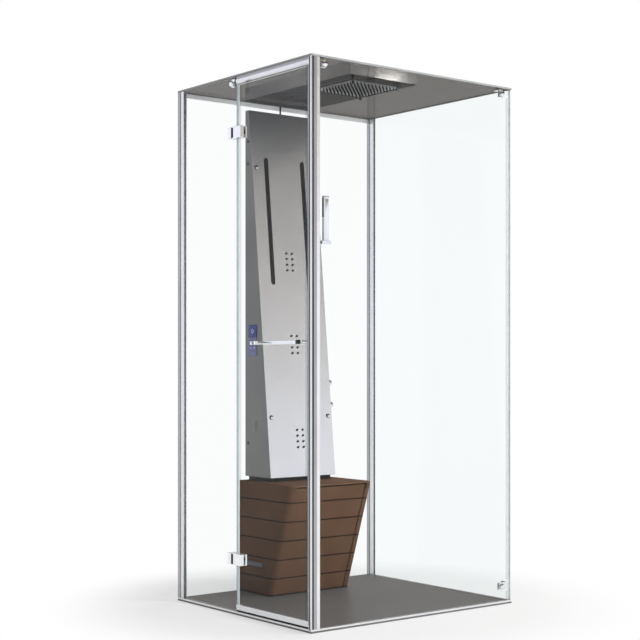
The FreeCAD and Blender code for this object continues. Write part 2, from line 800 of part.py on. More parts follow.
def build_panes():
    """Fixed panes and the roof, with their holes."""
    hole_r = S.cap_bolt_r + S.cap_hole_play
    pane_z = (GLASS_FOOT, ROOF_UNDER)

    front = block("FrontPane", (POST_RIGHT - S.post_slot_depth + S.glass_play, PANE_OUT),
                  (FRONT_PANE_OUT, FRONT_PANE_IN), pane_z)
    front_holes = [rod(f"FrontHole{index}", hole_r, (x, FRONT_PANE_OUT, z), "+y", S.glass_thick)
                   for index, (x, z) in enumerate(FRONT_CONNECTORS)]
    node("front_glass", cut("FrontGlass", front, *front_holes))

    right = block("RightPane", (PANE_IN, PANE_OUT),
                  (FRONT_PANE_IN + S.pane_corner_gap, PANE_BACK), pane_z)
    right_hole = rod("RightHole", hole_r, (PANE_IN, CORNER_BOLT_Y, CORNER_CONNECTOR_Z), "+x",
                     S.glass_thick)
    node("right_glass", cut("RightGlass", right, right_hole))

    side = block("SidePane", (-PANE_OUT, -PANE_IN), (S.side_pane_front, PANE_BACK), pane_z)
    side_hole = rod("SideHole", hole_r, (-PANE_IN, S.connector_side_y, CAP_Z), "-x", S.glass_thick)
    node("side_glass", cut("SideGlass", side, side_hole, *hinge_holes("SideHingeHole", FRAME_SCREW_Y)))

    roof = block("RoofPane", (LEFT_X, HALF_WIDTH), (FRONT_Y, WALL_Y), (ROOF_UNDER, S.roof_top))
    opening = PLATE_HALF + S.plate_hole_play
    plate_hole = block("RoofPlateHole", around(S.axis_x, opening), around(PLATE_Y, opening),
                       (ROOF_UNDER, S.roof_top))
    feed_hole = rod("RoofFeedHole", S.feed_pipe_r + S.feed_hole_play,
                    (S.axis_x, WALL_Y - S.feed_pipe_from_wall, ROOF_UNDER), "+z", S.glass_thick)
    roof_holes = [rod(f"RoofHole{index}", hole_r, (x, y, ROOF_UNDER), "+z", S.glass_thick)
                  for index, (x, y) in enumerate(ROOF_BOLTS)]
    node("roof_glass", cut("RoofGlass", roof, plate_hole, feed_hole, *roof_holes))

    bead_x = (PANE_IN - S.corner_bead, PANE_IN)
    bead_y = (FRONT_PANE_IN, FRONT_PANE_IN + S.corner_bead)
    half_bracket = S.corner_connector_height / 2 + S.corner_bead_gap
    low = block("LowBead", bead_x, bead_y, (RAIL_TOP, CORNER_CONNECTOR_Z - half_bracket))
    high = block("HighBead", bead_x, bead_y,
                 (CORNER_CONNECTOR_Z + half_bracket, ROOF_UNDER - S.bracket_drop))
    node("corner_seals", group("Beads", low, high))


def round_cap(name, face, direction, bolt_length):
    """A domed round cap on a pane's outer face, with its bolt through the pane."""
    back = {"-y": "+y", "+x": "-x", "-x": "+x"}[direction]
    rim = rod(f"{name}Rim", S.cap_r, face, direction, S.cap_rim)
    axis = "xyz".index(direction[1])
    sign = 1 if direction[0] == "+" else -1
    top = list(face)
    top[axis] = top[axis] + S.cap_rim * sign
    dome = cone(f"{name}Dome", S.cap_r, S.cap_dome_r, top, direction, S.cap_dome)
    bolt = rod(f"{name}Bolt", S.cap_bolt_r, face, back, bolt_length)
    return joined(name, rim, dome, bolt)


def build_connectors():
    """Round caps outside, brackets inside, and flat caps over the roof."""
    bolt = S.glass_thick + S.bracket_thick
    caps = [round_cap(f"FrontCap{index}", (x, FRONT_PANE_OUT, z), "-y", bolt)
            for index, (x, z) in enumerate(FRONT_CONNECTORS)]
    caps.append(round_cap("SideCap", (-PANE_OUT, S.connector_side_y, CAP_Z), "-x", bolt))
    caps.append(round_cap("CornerCap", (PANE_OUT, CORNER_BOLT_Y, CORNER_CONNECTOR_Z), "+x", bolt))
    for index, (x, y) in enumerate(ROOF_BOLTS):
        disc = rod(f"TopCap{index}", S.cap_r, (x, y, S.roof_top), "+z", S.top_cap_thick)
        screw = rod(f"TopBolt{index}", S.cap_bolt_r, (x, y, S.roof_top), "-z", bolt)
        caps.append(joined(f"TopCapped{index}", disc, screw))
    node("connector_caps", group("Caps", *caps))

    hole_r = S.cap_bolt_r + S.cap_bolt_play
    half = S.bracket_width / 2
    legs_z = (ROOF_UNDER - S.bracket_drop, ROOF_UNDER)
    flat_z = (ROOF_UNDER - S.bracket_thick, ROOF_UNDER)
    brackets = []
    for index, (x, z) in enumerate(FRONT_CONNECTORS[:2]):
        span = around(x, half)
        leg = block(f"FrontLeg{index}", span, (FRONT_PANE_IN, FRONT_PANE_IN + S.bracket_thick), legs_z)
        flat = block(f"FrontFlat{index}", span, (FRONT_PANE_IN, BRACKET_IN), flat_z)
        through = rod(f"FrontLegHole{index}", hole_r, (x, FRONT_PANE_IN, z), "+y", S.bracket_thick)
        up = rod(f"FrontFlatHole{index}", hole_r, (*ROOF_BOLTS[index], flat_z[0]), "+z",
                 S.bracket_thick)
        brackets.append(cut(f"FrontBracket{index}", joined(f"FrontAngle{index}", leg, flat),
                            through, up))
    span = around(S.connector_side_y, half)
    leg = block("SideLeg", (-PANE_IN, -PANE_IN + S.bracket_thick), span, legs_z)
    flat = block("SideFlat", (-PANE_IN, -PANE_IN + S.bracket_reach), span, flat_z)
    through = rod("SideLegHole", hole_r, (-PANE_IN, S.connector_side_y, CAP_Z), "+x",
                  S.bracket_thick)
    up = rod("SideFlatHole", hole_r, (*ROOF_BOLTS[2], flat_z[0]), "+z", S.bracket_thick)
    brackets.append(cut("SideBracket", joined("SideAngle", leg, flat), through, up))
    node("roof_brackets", group("RoofBrackets", *brackets))

    rise = around(CORNER_CONNECTOR_Z, S.corner_connector_height / 2)
    along = block("CornerLong", (CORNER_CONNECTOR_X - half, PANE_IN),
                  (FRONT_PANE_IN, FRONT_PANE_IN + S.bracket_thick), rise)
    back = block("CornerBack", (PANE_IN - S.bracket_thick, PANE_IN), (FRONT_PANE_IN, BRACKET_IN), rise)
    first = rod("CornerHoleFront", hole_r, (CORNER_CONNECTOR_X, FRONT_PANE_IN, CORNER_CONNECTOR_Z),
                "+y", S.bracket_thick)
    second = rod("CornerHoleSide", hole_r, (PANE_IN, CORNER_BOLT_Y, CORNER_CONNECTOR_Z), "-x",
                 S.bracket_thick)
    node("corner_bracket", cut("CornerBracket", joined("CornerAngle", along, back), first, second))


def build_door():
    """Door glass, its foot rail with the wiper, and the seals on its two upright edges."""
    glass = block("DoorPane", (-PANE_OUT, -PANE_IN), (DOOR_LOCK_EDGE, S.door_hinge_edge),
                  (S.door_glass_foot, DOOR_GLASS_TOP))
    bolt_hole_r = S.handle_bolt_r + S.handle_hole_play
    handle_holes = [rod(f"DoorHandleHole{index}", bolt_hole_r, (-PANE_IN, y, S.handle_height), "-x",
                        S.glass_thick)
                    for index, y in enumerate(HANDLE_FEET)]
    node("door_glass", cut("DoorGlass", glass, *handle_holes,
                           *hinge_holes("DoorHingeHole", DOOR_SCREW_Y)))

    rail_in = -RAIL_IN
    step_out = LEFT_X + S.door_rail_step
    step_in = rail_in - S.door_rail_step
    lip = S.door_rail_foot + S.door_rail_lip
    slot_out = -PANE_OUT - S.slide_gap
    slot_in = -PANE_IN + S.slide_gap
    node("door_foot_rail", bar("DoorRail", "y", (DOOR_FRONT, DOOR_REAR), (
        (step_out, S.door_rail_foot), (step_in, S.door_rail_foot), (step_in, lip), (rail_in, lip),
        (rail_in, S.door_rail_top), (slot_in, S.door_rail_top), (slot_in, S.door_glass_foot),
        (slot_out, S.door_glass_foot), (slot_out, S.door_rail_top), (LEFT_X, S.door_rail_top),
        (LEFT_X, lip), (step_out, lip))))
    middle = (step_out + step_in) / 2
    tip = RAIL_TOP + S.wiper_gap
    node("door_wiper", bar("Wiper", "y", (DOOR_FRONT, DOOR_REAR), (
        (middle - S.wiper_tip_width / 2, tip), (middle + S.wiper_tip_width / 2, tip),
        (middle + S.wiper_top_width / 2, S.door_rail_foot),
        (middle - S.wiper_top_width / 2, S.door_rail_foot))))

    seal_out = slot_out - S.seal_wall
    seal_in = slot_in + S.seal_wall
    arm_end = DOOR_LOCK_EDGE + S.seal_arm
    nose = DOOR_LOCK_EDGE - S.slide_gap
    node("door_lock_seal", bar("LockSeal", "z", (SEAL_FOOT, SEAL_HEAD), (
        (seal_out, DOOR_FRONT), (seal_in, DOOR_FRONT), (seal_in, arm_end), (slot_in, arm_end),
        (slot_in, nose), (slot_out, nose), (slot_out, arm_end), (seal_out, arm_end))))

    bulb = S.side_pane_front - S.hinge_seal_gap
    arm_start = S.door_hinge_edge - S.hinge_seal_arm
    seat = S.door_hinge_edge + S.slide_gap
    outline = ((seal_out, bulb), (seal_out, arm_start), (slot_out, arm_start), (slot_out, seat),
               (slot_in, seat), (slot_in, arm_start), (seal_in, arm_start), (seal_in, bulb))
    clear = S.hinge_height / 2 + S.seal_hinge_gap
    low, high = HINGE_HEIGHTS
    spans = ((SEAL_FOOT, low - clear), (low + clear, high - clear), (high + clear, SEAL_HEAD))
    node("door_hinge_seal", group("HingeSeals", *[
        bar(f"HingeSeal{index}", "z", span, outline) for index, span in enumerate(spans)]))


def hinge_screws(name, y):
    """Two screw shanks between a hinge's outer block and its inner plate."""
    return lambda z: [rod(f"{name}{step}", S.hinge_screw_r,
                          (-PANE_OUT - S.hinge_gasket, y, z + S.hinge_screw_spread * step / 2), "+x",
                          S.glass_thick + S.hinge_gasket)
                      for step in (-1, 1)]


def build_hinges():
    """Two clamp hinges: a leaf on the fixed pane, a leaf on the door, a barrel and a pin."""
    inner_x = (-PANE_IN, -PANE_IN + S.hinge_plate_thick)
    block_x = (BLOCK_OUT, BLOCK_IN)
    pad_x = (BLOCK_IN, -PANE_OUT)
    frame_screws = hinge_screws("FrameScrew", FRAME_SCREW_Y)
    door_screws = hinge_screws("DoorScrew", DOOR_SCREW_Y)
    bore_r = S.hinge_pin_r + S.hinge_pin_play
    frame_leaves, door_leaves, barrels, pins = [], [], [], []
    for level, z in enumerate(HINGE_HEIGHTS):
        tall = around(z, S.hinge_height / 2)
        foot, head = tall
        frame_y = (FRAME_LEAF_FRONT, FRAME_LEAF_REAR)
        frame_leaves.append(joined(
            f"FrameLeaf{level}",
            block(f"FrameBlock{level}", block_x, frame_y, tall),
            block(f"FramePad{level}", pad_x, frame_y, tall),
            block(f"FramePlate{level}", inner_x, frame_y, tall), *frame_screws(z)))

        plate_y = (DOOR_PLATE_FRONT, DOOR_PLATE_REAR)
        arms = []
        for end, arm_z in (("Low", (foot, foot + S.hinge_arm_thick)),
                           ("High", (head - S.hinge_arm_thick, head))):
            reach = block(f"Arm{end}{level}", around(PIVOT_X, S.hinge_barrel_r),
                          (DOOR_LEAF_REAR, S.hinge_pivot_y), arm_z)
            tip = rod(f"ArmTip{end}{level}", S.hinge_barrel_r, (PIVOT_X, S.hinge_pivot_y, arm_z[0]),
                      "+z", S.hinge_arm_thick)
            arms.extend((reach, tip))
        leaf = joined(
            f"DoorLeafSolid{level}",
            block(f"DoorBlock{level}", block_x, (DOOR_LEAF_FRONT, DOOR_LEAF_REAR), tall),
            block(f"DoorPad{level}", pad_x, plate_y, tall),
            block(f"DoorPlate{level}", inner_x, plate_y, tall), *arms, *door_screws(z))
        bore = rod(f"ArmBore{level}", bore_r, (PIVOT_X, S.hinge_pivot_y, foot), "+z", S.hinge_height)
        door_leaves.append(cut(f"DoorLeaf{level}", leaf, bore))

        barrel_foot = foot + S.hinge_arm_thick + S.slide_gap
        barrel_length = S.hinge_height - (S.hinge_arm_thick + S.slide_gap) * 2
        barrel = rod(f"Barrel{level}", S.hinge_barrel_r, (PIVOT_X, S.hinge_pivot_y, barrel_foot),
                     "+z", barrel_length)
        tail = block(f"BarrelTail{level}", around(PIVOT_X, S.hinge_barrel_r),
                     (S.hinge_pivot_y, FRAME_LEAF_FRONT), (barrel_foot, barrel_foot + barrel_length))
        barrels.append(cut(
            f"BarrelBored{level}", joined(f"BarrelSolid{level}", barrel, tail),
            rod(f"BarrelBore{level}", bore_r, (PIVOT_X, S.hinge_pivot_y, foot), "+z",
                S.hinge_height)))
        pins.append(rod(f"Pin{level}", S.hinge_pin_r, (PIVOT_X, S.hinge_pivot_y, foot), "+z",
                        S.hinge_height))
    node("hinge_frame_leaves", group("FrameLeaves", *frame_leaves))
    node("hinge_door_leaves", group("DoorLeaves", *door_leaves))
    node("hinge_barrels", group("Barrels", *barrels))
    node("hinge_pins", group("Pins", *pins))


def build_handle():
    """Square bar on two feet inside the door, held by a square knob and a round cap outside."""
    half = S.handle_bar / 2
    bar_x = (-PANE_IN + S.handle_standoff, -PANE_IN + S.handle_standoff + S.handle_bar)
    grip = block("HandleBar", bar_x, (HANDLE_FRONT, HANDLE_REAR),
                 around(S.handle_height, half))
    feet, sockets, bolts = [], [], []
    for index, y in enumerate(HANDLE_FEET):
        start = (-PANE_IN, y, S.handle_height)
        feet.append(rod(f"HandleFoot{index}", S.handle_foot_r, start, "+x", S.handle_standoff))
        sockets.append(rod(f"HandleSocket{index}", S.handle_bolt_r + S.handle_bolt_play, start, "+x",
                           S.handle_bolt_grip))
        bolts.append(rod(f"HandleBolt{index}", S.handle_bolt_r, (-PANE_OUT, y, S.handle_height),
                         "+x", S.glass_thick + S.handle_bolt_grip - S.slide_gap))
    node("door_handle", cut("Handle", joined("HandleSolid", grip, *feet), *sockets))

    knob_half = S.knob_square / 2
    square = block("SquareKnob", (-PANE_OUT - S.knob_out, -PANE_OUT),
                   around(HANDLE_FRONT_FOOT, knob_half), around(S.handle_height, knob_half))
    disc = rod("RoundCap", S.knob_round_r, (-PANE_OUT, HANDLE_REAR_FOOT, S.handle_height), "-x",
               S.knob_round_out)
    node("handle_fixings", group("Fixings", joined("SquareFixing", square, bolts[0]),
                                 joined("RoundFixing", disc, bolts[1])))


def build_rain_head():
    """Steel box on the roof, the water chamber in it and the nozzle plate that hangs through."""
    box_z = (S.roof_top, S.roof_top + S.box_height)
    box_y = (WALL_Y - S.box_length, WALL_Y)
    outer = block("BoxOuter", around(S.axis_x, S.box_half_width), box_y, box_z)
    inner = block("BoxInner", around(S.axis_x, S.box_half_width - S.box_wall),
                  (box_y[0] + S.box_wall, box_y[1] - S.box_wall), (box_z[0], box_z[1] - S.box_wall))
    node("rain_box", cut("RainBox", outer, inner))

    chamber_z = (PLATE_TOP, PLATE_TOP + S.chamber_height)
    shell = block("ChamberOuter", around(S.axis_x, CHAMBER_HALF), around(PLATE_Y, CHAMBER_HALF),
                  chamber_z)
    flange_half = PLATE_HALF + S.chamber_flange
    flange = block("ChamberFlange", around(S.axis_x, flange_half), around(PLATE_Y, flange_half),
                   (S.roof_top, S.roof_top + S.chamber_flange_thick))
    hollow_half = CHAMBER_HALF - S.chamber_wall
    hollow = block("ChamberHollow", around(S.axis_x, hollow_half), around(PLATE_Y, hollow_half),
                   (chamber_z[0], chamber_z[1] - S.chamber_wall))
    feed_z = S.roof_top + S.feed_pipe_rise
    port = rod("ChamberPort", S.feed_pipe_r - S.feed_pipe_wall,
               (S.axis_x, PLATE_Y + CHAMBER_HALF - S.chamber_wall, feed_z), "+y", S.chamber_wall)
    node("rain_chamber", cut("Chamber", joined("ChamberSolid", shell, flange), hollow, port))

    node("nozzle_plate", block("NozzlePlate", around(S.axis_x, PLATE_HALF),
                               around(PLATE_Y, PLATE_HALF), (PLATE_FOOT, PLATE_TOP)))

    count = int(S.nozzle_rows.value)
    pitch = S.nozzle_pitch.value
    first = Vector(S.axis_x.value, PLATE_Y.value, PLATE_FOOT.value)
    first = first - Vector(pitch, pitch, 0) * ((count - 1) / 2)
    cones = [Part.makeCone(S.nozzle_root_r.value, S.nozzle_tip_r.value, S.nozzle_length.value,
                           first + Vector(pitch * column, pitch * line, 0), Vector(0, 0, -1))
             for column in range(count) for line in range(count)]
    nozzles = doc.addObject("Part::Feature", "Nozzles")
    nozzles.Shape = Part.makeCompound(cones)
    nozzles.Placement = FreeCAD.Placement()
    node("rain_nozzles", nozzles)

    studs = []
    for index, (side, end) in enumerate(((-1, -1), (1, -1), (-1, 1), (1, 1))):
        top = (S.axis_x + STUD_REACH * side, PLATE_Y + STUD_REACH * end, PLATE_FOOT)
        shank = rod(f"PlateStud{index}", S.stud_r, top, "-z", S.stud_length)
        dome = ball(f"PlateStudDome{index}", S.stud_r, (top[0], top[1], PLATE_FOOT - S.stud_length))
        studs.append(joined(f"PlateStudCap{index}", shank, dome))
    node("plate_studs", group("PlateStuds", *studs))

    riser_y = WALL_Y - S.feed_pipe_from_wall
    bend_y = riser_y - S.feed_bend
    bend_z = feed_z - S.feed_bend
    plate_back = PLATE_Y + CHAMBER_HALF
    lines = []
    for kind, radius in (("Outer", S.feed_pipe_r), ("Inner", S.feed_pipe_r - S.feed_pipe_wall)):
        up = rod(f"Feed{kind}Up", radius, (S.axis_x, riser_y, S.feed_pipe_start), "+z",
                 bend_z - S.feed_pipe_start)
        bend = doc.addObject("Part::Torus", f"Feed{kind}Bend")
        bind(bend, "Radius1", S.feed_bend)
        bind(bend, "Radius2", radius)
        bend.Angle3 = 90
        place(bend, (S.axis_x, bend_y, bend_z), BAR_TURNS["x"])
        ahead = rod(f"Feed{kind}Ahead", radius, (S.axis_x, bend_y, feed_z), "-y",
                    bend_y - plate_back)
        lines.append(joined(f"Feed{kind}", up, bend, ahead))
    node("rain_feed_pipe", cut("FeedPipe", *lines))


def column_face(z):
    """The Y of the column's front face at a height."""
    return WALL_Y - S.column_foot_depth + LEAN_TAN * (as_size(z) - S.column_foot)


def face_point(x, z, inwards):
    """A point at a depth behind the column's front face, measured square to it."""
    return (as_size(x), column_face(z) + LEAN_COS * inwards, as_size(z) - LEAN_SIN * inwards)


def lean(piece):
    """Turn a placed piece so that its own Z leaves the column's front face squarely."""
    piece.Placement.Rotation = Rotation(Vector(1, 0, 0), 45)
    piece.setExpression("Placement.Rotation.Angle", f"90 deg - atan{LEAN_TAN.formula}")
    return piece


def face_rod(name, radius, x, z, inwards, length):
    """A cylinder square to the column's face that starts at a depth behind it."""
    piece = doc.addObject("Part::Cylinder", name)
    bind(piece, "Radius", radius)
    bind(piece, "Height", length)
    return lean(place(piece, face_point(x, z, inwards)))


def face_block(name, x, z, width, height, inwards, thick):
    """A box square to the column's face, centred on a point of it."""
    piece = doc.addObject("Part::Box", name)
    bind(piece, "Length", width)
    bind(piece, "Width", height)
    bind(piece, "Height", thick)
    corner = face_point(as_size(x) - width / 2, z, inwards)
    half = height / 2
    return lean(place(piece, (corner[0], corner[1] - LEAN_SIN * half, corner[2] - LEAN_COS * half)))


JET_GROUPS = (S.low_jets_height, S.middle_jets_height, S.high_jets_height)


def jet_places():
    """Each jet's X and height, column by column in each group."""
    middle = (S.jet_rows - 1) / 2
    for group_z in JET_GROUPS:
        for side in (-1, 1):
            for line in range(int(S.jet_rows.value)):
                x = S.jet_centre_x + S.jet_pitch_x * side / 2
                yield x, group_z + S.jet_pitch_z * (-middle + line)


def side_screw_places():
    """Heights of the screws in each side of the column, and their distance from the wall."""
    heights = (S.low_screw_height, S.middle_screw_height, S.top_screw_height)
    return [(WALL_Y - S.screw_from_wall, z) for z in heights]


def valve_point(z):
    """The Y of a valve's axis at a height."""
    return column_face(z) + S.valve_behind_face


def build_column():
    """Folded column shell with its back, foot, lights, jets, nuts, screws and touch panel."""
    front_foot = column_face(S.column_foot)
    front_top = column_face(S.column_top)
    outer = bar("ColumnOuter", "x", (COLUMN_LEFT, COLUMN_RIGHT), (
        (front_foot, S.column_foot), (COLUMN_BACK, S.column_foot), (COLUMN_BACK, S.column_top),
        (front_top, S.column_top)))
    low = S.column_foot + S.column_wall
    high = S.column_top - S.column_wall
    skin = S.column_wall / LEAN_COS
    inner = bar("ColumnInner", "x", (COLUMN_LEFT + S.column_wall, COLUMN_RIGHT - S.column_wall), (
        (column_face(low) + skin, low), (COLUMN_BACK, low), (COLUMN_BACK, high),
        (column_face(high) + skin, high)))
    holes = []
    light_middle = (S.light_foot + S.light_top) / 2
    light_length = (S.light_top - S.light_foot) / LEAN_COS
    lights = []
    for side in (-1, 1):
        x = S.axis_x + S.light_offset * side
        holes.append(face_block(f"LightSlot{side + 1}", x, light_middle,
                                S.light_width + S.light_play * 2, light_length + S.light_play * 2,
                                S.column_wall * 2, S.column_wall * 3))
        lights.append(face_block(f"LightBar{side + 1}", x, light_middle, S.light_width, light_length,
                                 S.light_thick + S.light_recess, S.light_thick))
    jets = []
    for index, (x, z) in enumerate(jet_places()):
        holes.append(face_rod(f"JetHole{index}", S.jet_r + S.jet_play, x, z, S.column_wall * 2,
                              S.column_wall * 3))
        jets.append(face_rod(f"Jet{index}", S.jet_r, x, z, S.jet_depth, S.jet_depth + S.jet_proud))
    nuts = []
    nut_places = [(side, z) for side in (-1, 1) for z in (S.low_nut_height, S.high_nut_height)]
    for index, (side, z) in enumerate(nut_places):
        x = S.axis_x + S.nut_offset * side
        holes.append(face_rod(f"NutHole{index}", S.nut_stud_r + S.slide_gap, x, z,
                              S.column_wall * 2, S.column_wall * 3))
        rim = face_rod(f"NutRim{index}", S.nut_r, x, z, ZERO, S.nut_rim)
        dome = doc.addObject("Part::Cone", f"NutDome{index}")
        bind(dome, "Radius1", S.nut_r)
        bind(dome, "Radius2", S.nut_r / 2)
        bind(dome, "Height", S.nut_rim)
        lean(place(dome, face_point(x, z, -S.nut_rim)))
        stud = face_rod(f"NutStud{index}", S.nut_stud_r, x, z, S.nut_stud_length, S.nut_stud_length)
        nuts.append(joined(f"Nut{index}", rim, dome, stud))
    screws = []
    sides = (("L", COLUMN_LEFT, "-x", "+x"), ("R", COLUMN_RIGHT, "+x", "-x"))
    for index, (y, z) in enumerate(side_screw_places()):
        for side, face_x, out, inward in sides:
            holes.append(rod(f"ScrewHole{side}{index}", S.screw_shank_r + S.slide_gap,
                             (face_x, y, z), inward, S.column_wall))
            head = rod(f"ScrewHead{side}{index}", S.screw_head_r, (face_x, y, z), out,
                       S.screw_head_thick)
            shank = rod(f"ScrewShank{side}{index}", S.screw_shank_r, (face_x, y, z), inward,
                        S.screw_length)
            screws.append(joined(f"Screw{side}{index}", head, shank))
    for line in range(int(S.vent_rows.value)):
        for side in (-1, 1):
            holes.append(rod(
                f"VentHole{side + 1}{line}", S.vent_hole_r,
                (COLUMN_LEFT, WALL_Y - S.vent_from_wall + S.vent_pitch * side / 2,
                 S.vent_height + S.vent_pitch * line), "+x", S.column_wall))
    for name, z in (("Mixer", S.mixer_height), ("Diverter", DIVERTER_HEIGHT)):
        holes.append(rod(f"{name}SpindleHole", S.spindle_r + S.spindle_hole_play,
                         (COLUMN_RIGHT, valve_point(z), z), "-x", S.column_wall))
    riser_y = WALL_Y - S.feed_pipe_from_wall
    holes.append(rod("ColumnFeedHole", S.feed_pipe_r + S.slide_gap, (S.axis_x, riser_y, S.column_top),
                     "-z", S.column_wall))
    node("column_shell", cut("ColumnShell", cut("ColumnHollow", outer, inner), *holes))
    node("light_bars", group("LightBars", *lights))
    node("body_jets", group("Jets", *jets))
    node("column_fasteners", group("Fasteners", *nuts, *screws))

    plate = block("BackPlate", (COLUMN_LEFT, COLUMN_RIGHT), (COLUMN_BACK, WALL_Y),
                  (S.column_foot, S.column_top))
    inlet_holes = [rod(f"InletHole{side + 1}", S.inlet_r + S.inlet_hole_play,
                       (S.axis_x + S.inlet_spread * side, COLUMN_BACK, S.inlet_height), "+y",
                       S.backplate_thick) for side in (-1, 1)]
    node("column_backplate", cut("BackPlateCut", plate, *inlet_holes))
    node("column_foot", block(
        "ColumnFoot", (COLUMN_LEFT + S.column_foot_inset, COLUMN_RIGHT - S.column_foot_inset),
        (front_foot + S.column_foot_inset, COLUMN_BACK), (S.seat_top, S.column_foot)))
    node("touch_panel", block(
        "TouchPanel", (COLUMN_LEFT - S.panel_thick, COLUMN_LEFT),
        (WALL_Y - S.panel_near, WALL_Y - S.panel_far), (S.panel_foot, S.panel_top)))

    manifolds = [face_block(f"Manifold{index}", S.jet_centre_x, z, S.manifold_width,
                            S.manifold_height, S.jet_depth + S.manifold_thick, S.manifold_thick)
                 for index, z in enumerate(JET_GROUPS)]
    node("jet_manifolds", group("Manifolds", *manifolds))


def pipe(name, route, radius, wall):
    """A round pipe along straight runs, each parallel to an axis, with ball elbows."""
    layers = []
    for kind, r in (("Outer", radius), ("Inner", radius - wall)):
        runs = []
        for index, (start, end) in enumerate(zip(route, route[1:])):
            axis = max(range(3), key=lambda i: abs(end[i].value - start[i].value))
            forward = end[axis].value > start[axis].value
            length = end[axis] - start[axis] if forward else start[axis] - end[axis]
            direction = ("+" if forward else "-") + "xyz"[axis]
            runs.append(rod(f"{name}{kind}Run{index}", r, start, direction, length))
        for index, corner in enumerate(route[1:-1]):
            runs.append(ball(f"{name}{kind}Corner{index}", r + S.pipe_elbow, corner))
        layers.append(runs)
    return layers


def build_water():
    """Inlets, mixer, diverter and the pipes between them and the jets."""
    inner_face = COLUMN_RIGHT - S.column_wall
    half = S.valve_side / 2
    valves = {}
    for name, z in (("mixer", S.mixer_height), ("diverter", DIVERTER_HEIGHT)):
        y = valve_point(z)
        body = block(f"{name.title()}Body", (inner_face - S.valve_length, inner_face),
                     around(y, half), around(z, half))
        spindle = rod(f"{name.title()}Spindle", S.spindle_r, (inner_face, y, z), "+x",
                      S.column_wall + S.spindle_reach)
        node(f"{name}_valve", joined(f"{name.title()}Valve", body, spindle))
        valves[name] = (inner_face - S.valve_length, y, z)

        start = (COLUMN_RIGHT + S.knob_wall_gap, y, z)
        grip_length = S.knob_length - S.knob_bevel
        grip = rod(f"{name.title()}Grip", S.knob_r, start, "+x", grip_length)
        bevel = cone(f"{name.title()}Bevel", S.knob_r, S.knob_r - S.knob_bevel,
                     (start[0] + grip_length, y, z), "+x", S.knob_bevel)
        socket = rod(f"{name.title()}Socket", S.spindle_r + S.spindle_play, start, "+x",
                     S.knob_socket)
        node(f"{name}_knob", cut(f"{name.title()}Knob",
                                 joined(f"{name.title()}Round", grip, bevel), socket))

    inlet_front = WALL_Y - S.inlet_length
    inlets = []
    for side in (-1, 1):
        start = (S.axis_x + S.inlet_spread * side, inlet_front, S.inlet_height)
        shell = rod(f"Inlet{side + 1}", S.inlet_r, start, "+y", S.inlet_length)
        mouth = (start[0], WALL_Y - S.inlet_bore_length, start[2])
        bore = rod(f"InletBore{side + 1}", S.inlet_bore_r, mouth, "+y", S.inlet_bore_length)
        way = rod(f"InletWay{side + 1}", S.pipe_r - S.pipe_wall, start, "+y", S.inlet_length)
        inlets.append(cut(f"InletFitting{side + 1}", shell, bore, way))
    node("water_inlets", group("Inlets", *inlets))

    mixer_x, mixer_y, mixer_z = valves["mixer"]
    diverter_x, diverter_y, diverter_z = valves["diverter"]
    hot_x = S.axis_x + S.inlet_spread
    hot_y = mixer_y - S.valve_behind_face + S.hot_pipe_behind_face
    cold_x = S.axis_x - S.inlet_spread
    cold_y = WALL_Y - S.cold_pipe_from_wall
    tap_x = mixer_x + S.valve_length / 2
    riser_y = WALL_Y - S.feed_pipe_from_wall
    link_y = (mixer_y + diverter_y) / 2
    link_x = mixer_x + S.link_pipe_in
    routes = {
        "Hot": [(hot_x, inlet_front, S.inlet_height), (hot_x, hot_y, S.inlet_height),
                (hot_x, hot_y, mixer_z), (mixer_x, hot_y, mixer_z)],
        "Cold": [(cold_x, inlet_front, S.inlet_height), (cold_x, cold_y, S.inlet_height),
                 (cold_x, cold_y, mixer_z), (tap_x, cold_y, mixer_z), (tap_x, mixer_y + half, mixer_z)],
        "Link": [(link_x, link_y, diverter_z + half), (link_x, link_y, mixer_z - half)],
    }
    pipes = []
    for name, route in routes.items():
        outer, inner = pipe(name, route, S.pipe_r, S.pipe_wall)
        if len(outer) == 1:
            pipes.append(cut(f"{name}Pipe", outer[0], inner[0]))
        else:
            pipes.append(cut(f"{name}Pipe", joined(f"{name}Outer", *outer), *inner))

    reach = S.jet_depth + S.manifold_thick
    trunk = [(diverter_x, diverter_y, diverter_z), (S.axis_x, diverter_y, diverter_z),
             (S.axis_x, riser_y, diverter_z), (S.axis_x, riser_y, S.feed_pipe_start)]
    outer, inner = pipe("Trunk", trunk, S.feed_pipe_r, S.feed_pipe_wall)
    down = [(S.axis_x, riser_y, diverter_z), (S.axis_x, riser_y, S.low_jets_height)]
    more_outer, more_inner = pipe("Down", down, S.feed_pipe_r, S.feed_pipe_wall)
    outer += more_outer
    inner += more_inner
    for index, z in enumerate(JET_GROUPS):
        back = column_face(z) + reach / LEAN_COS + S.feed_pipe_r * LEAN_TAN
        branch = [(S.axis_x, riser_y, z), (S.axis_x, back, z)]
        more_outer, more_inner = pipe(f"Branch{index}", branch, S.feed_pipe_r, S.feed_pipe_wall)
        outer += more_outer
        inner += more_inner
        tee_r = S.feed_pipe_r + S.pipe_elbow
        outer.append(ball(f"TeeOuter{index}", tee_r, branch[0]))
        inner.append(ball(f"TeeInner{index}", tee_r - S.feed_pipe_wall, branch[0]))
    pipes.append(cut("TrunkPipe", joined("TrunkOuter", *outer), *inner))
    node("supply_pipes", group("Pipes", *pipes))


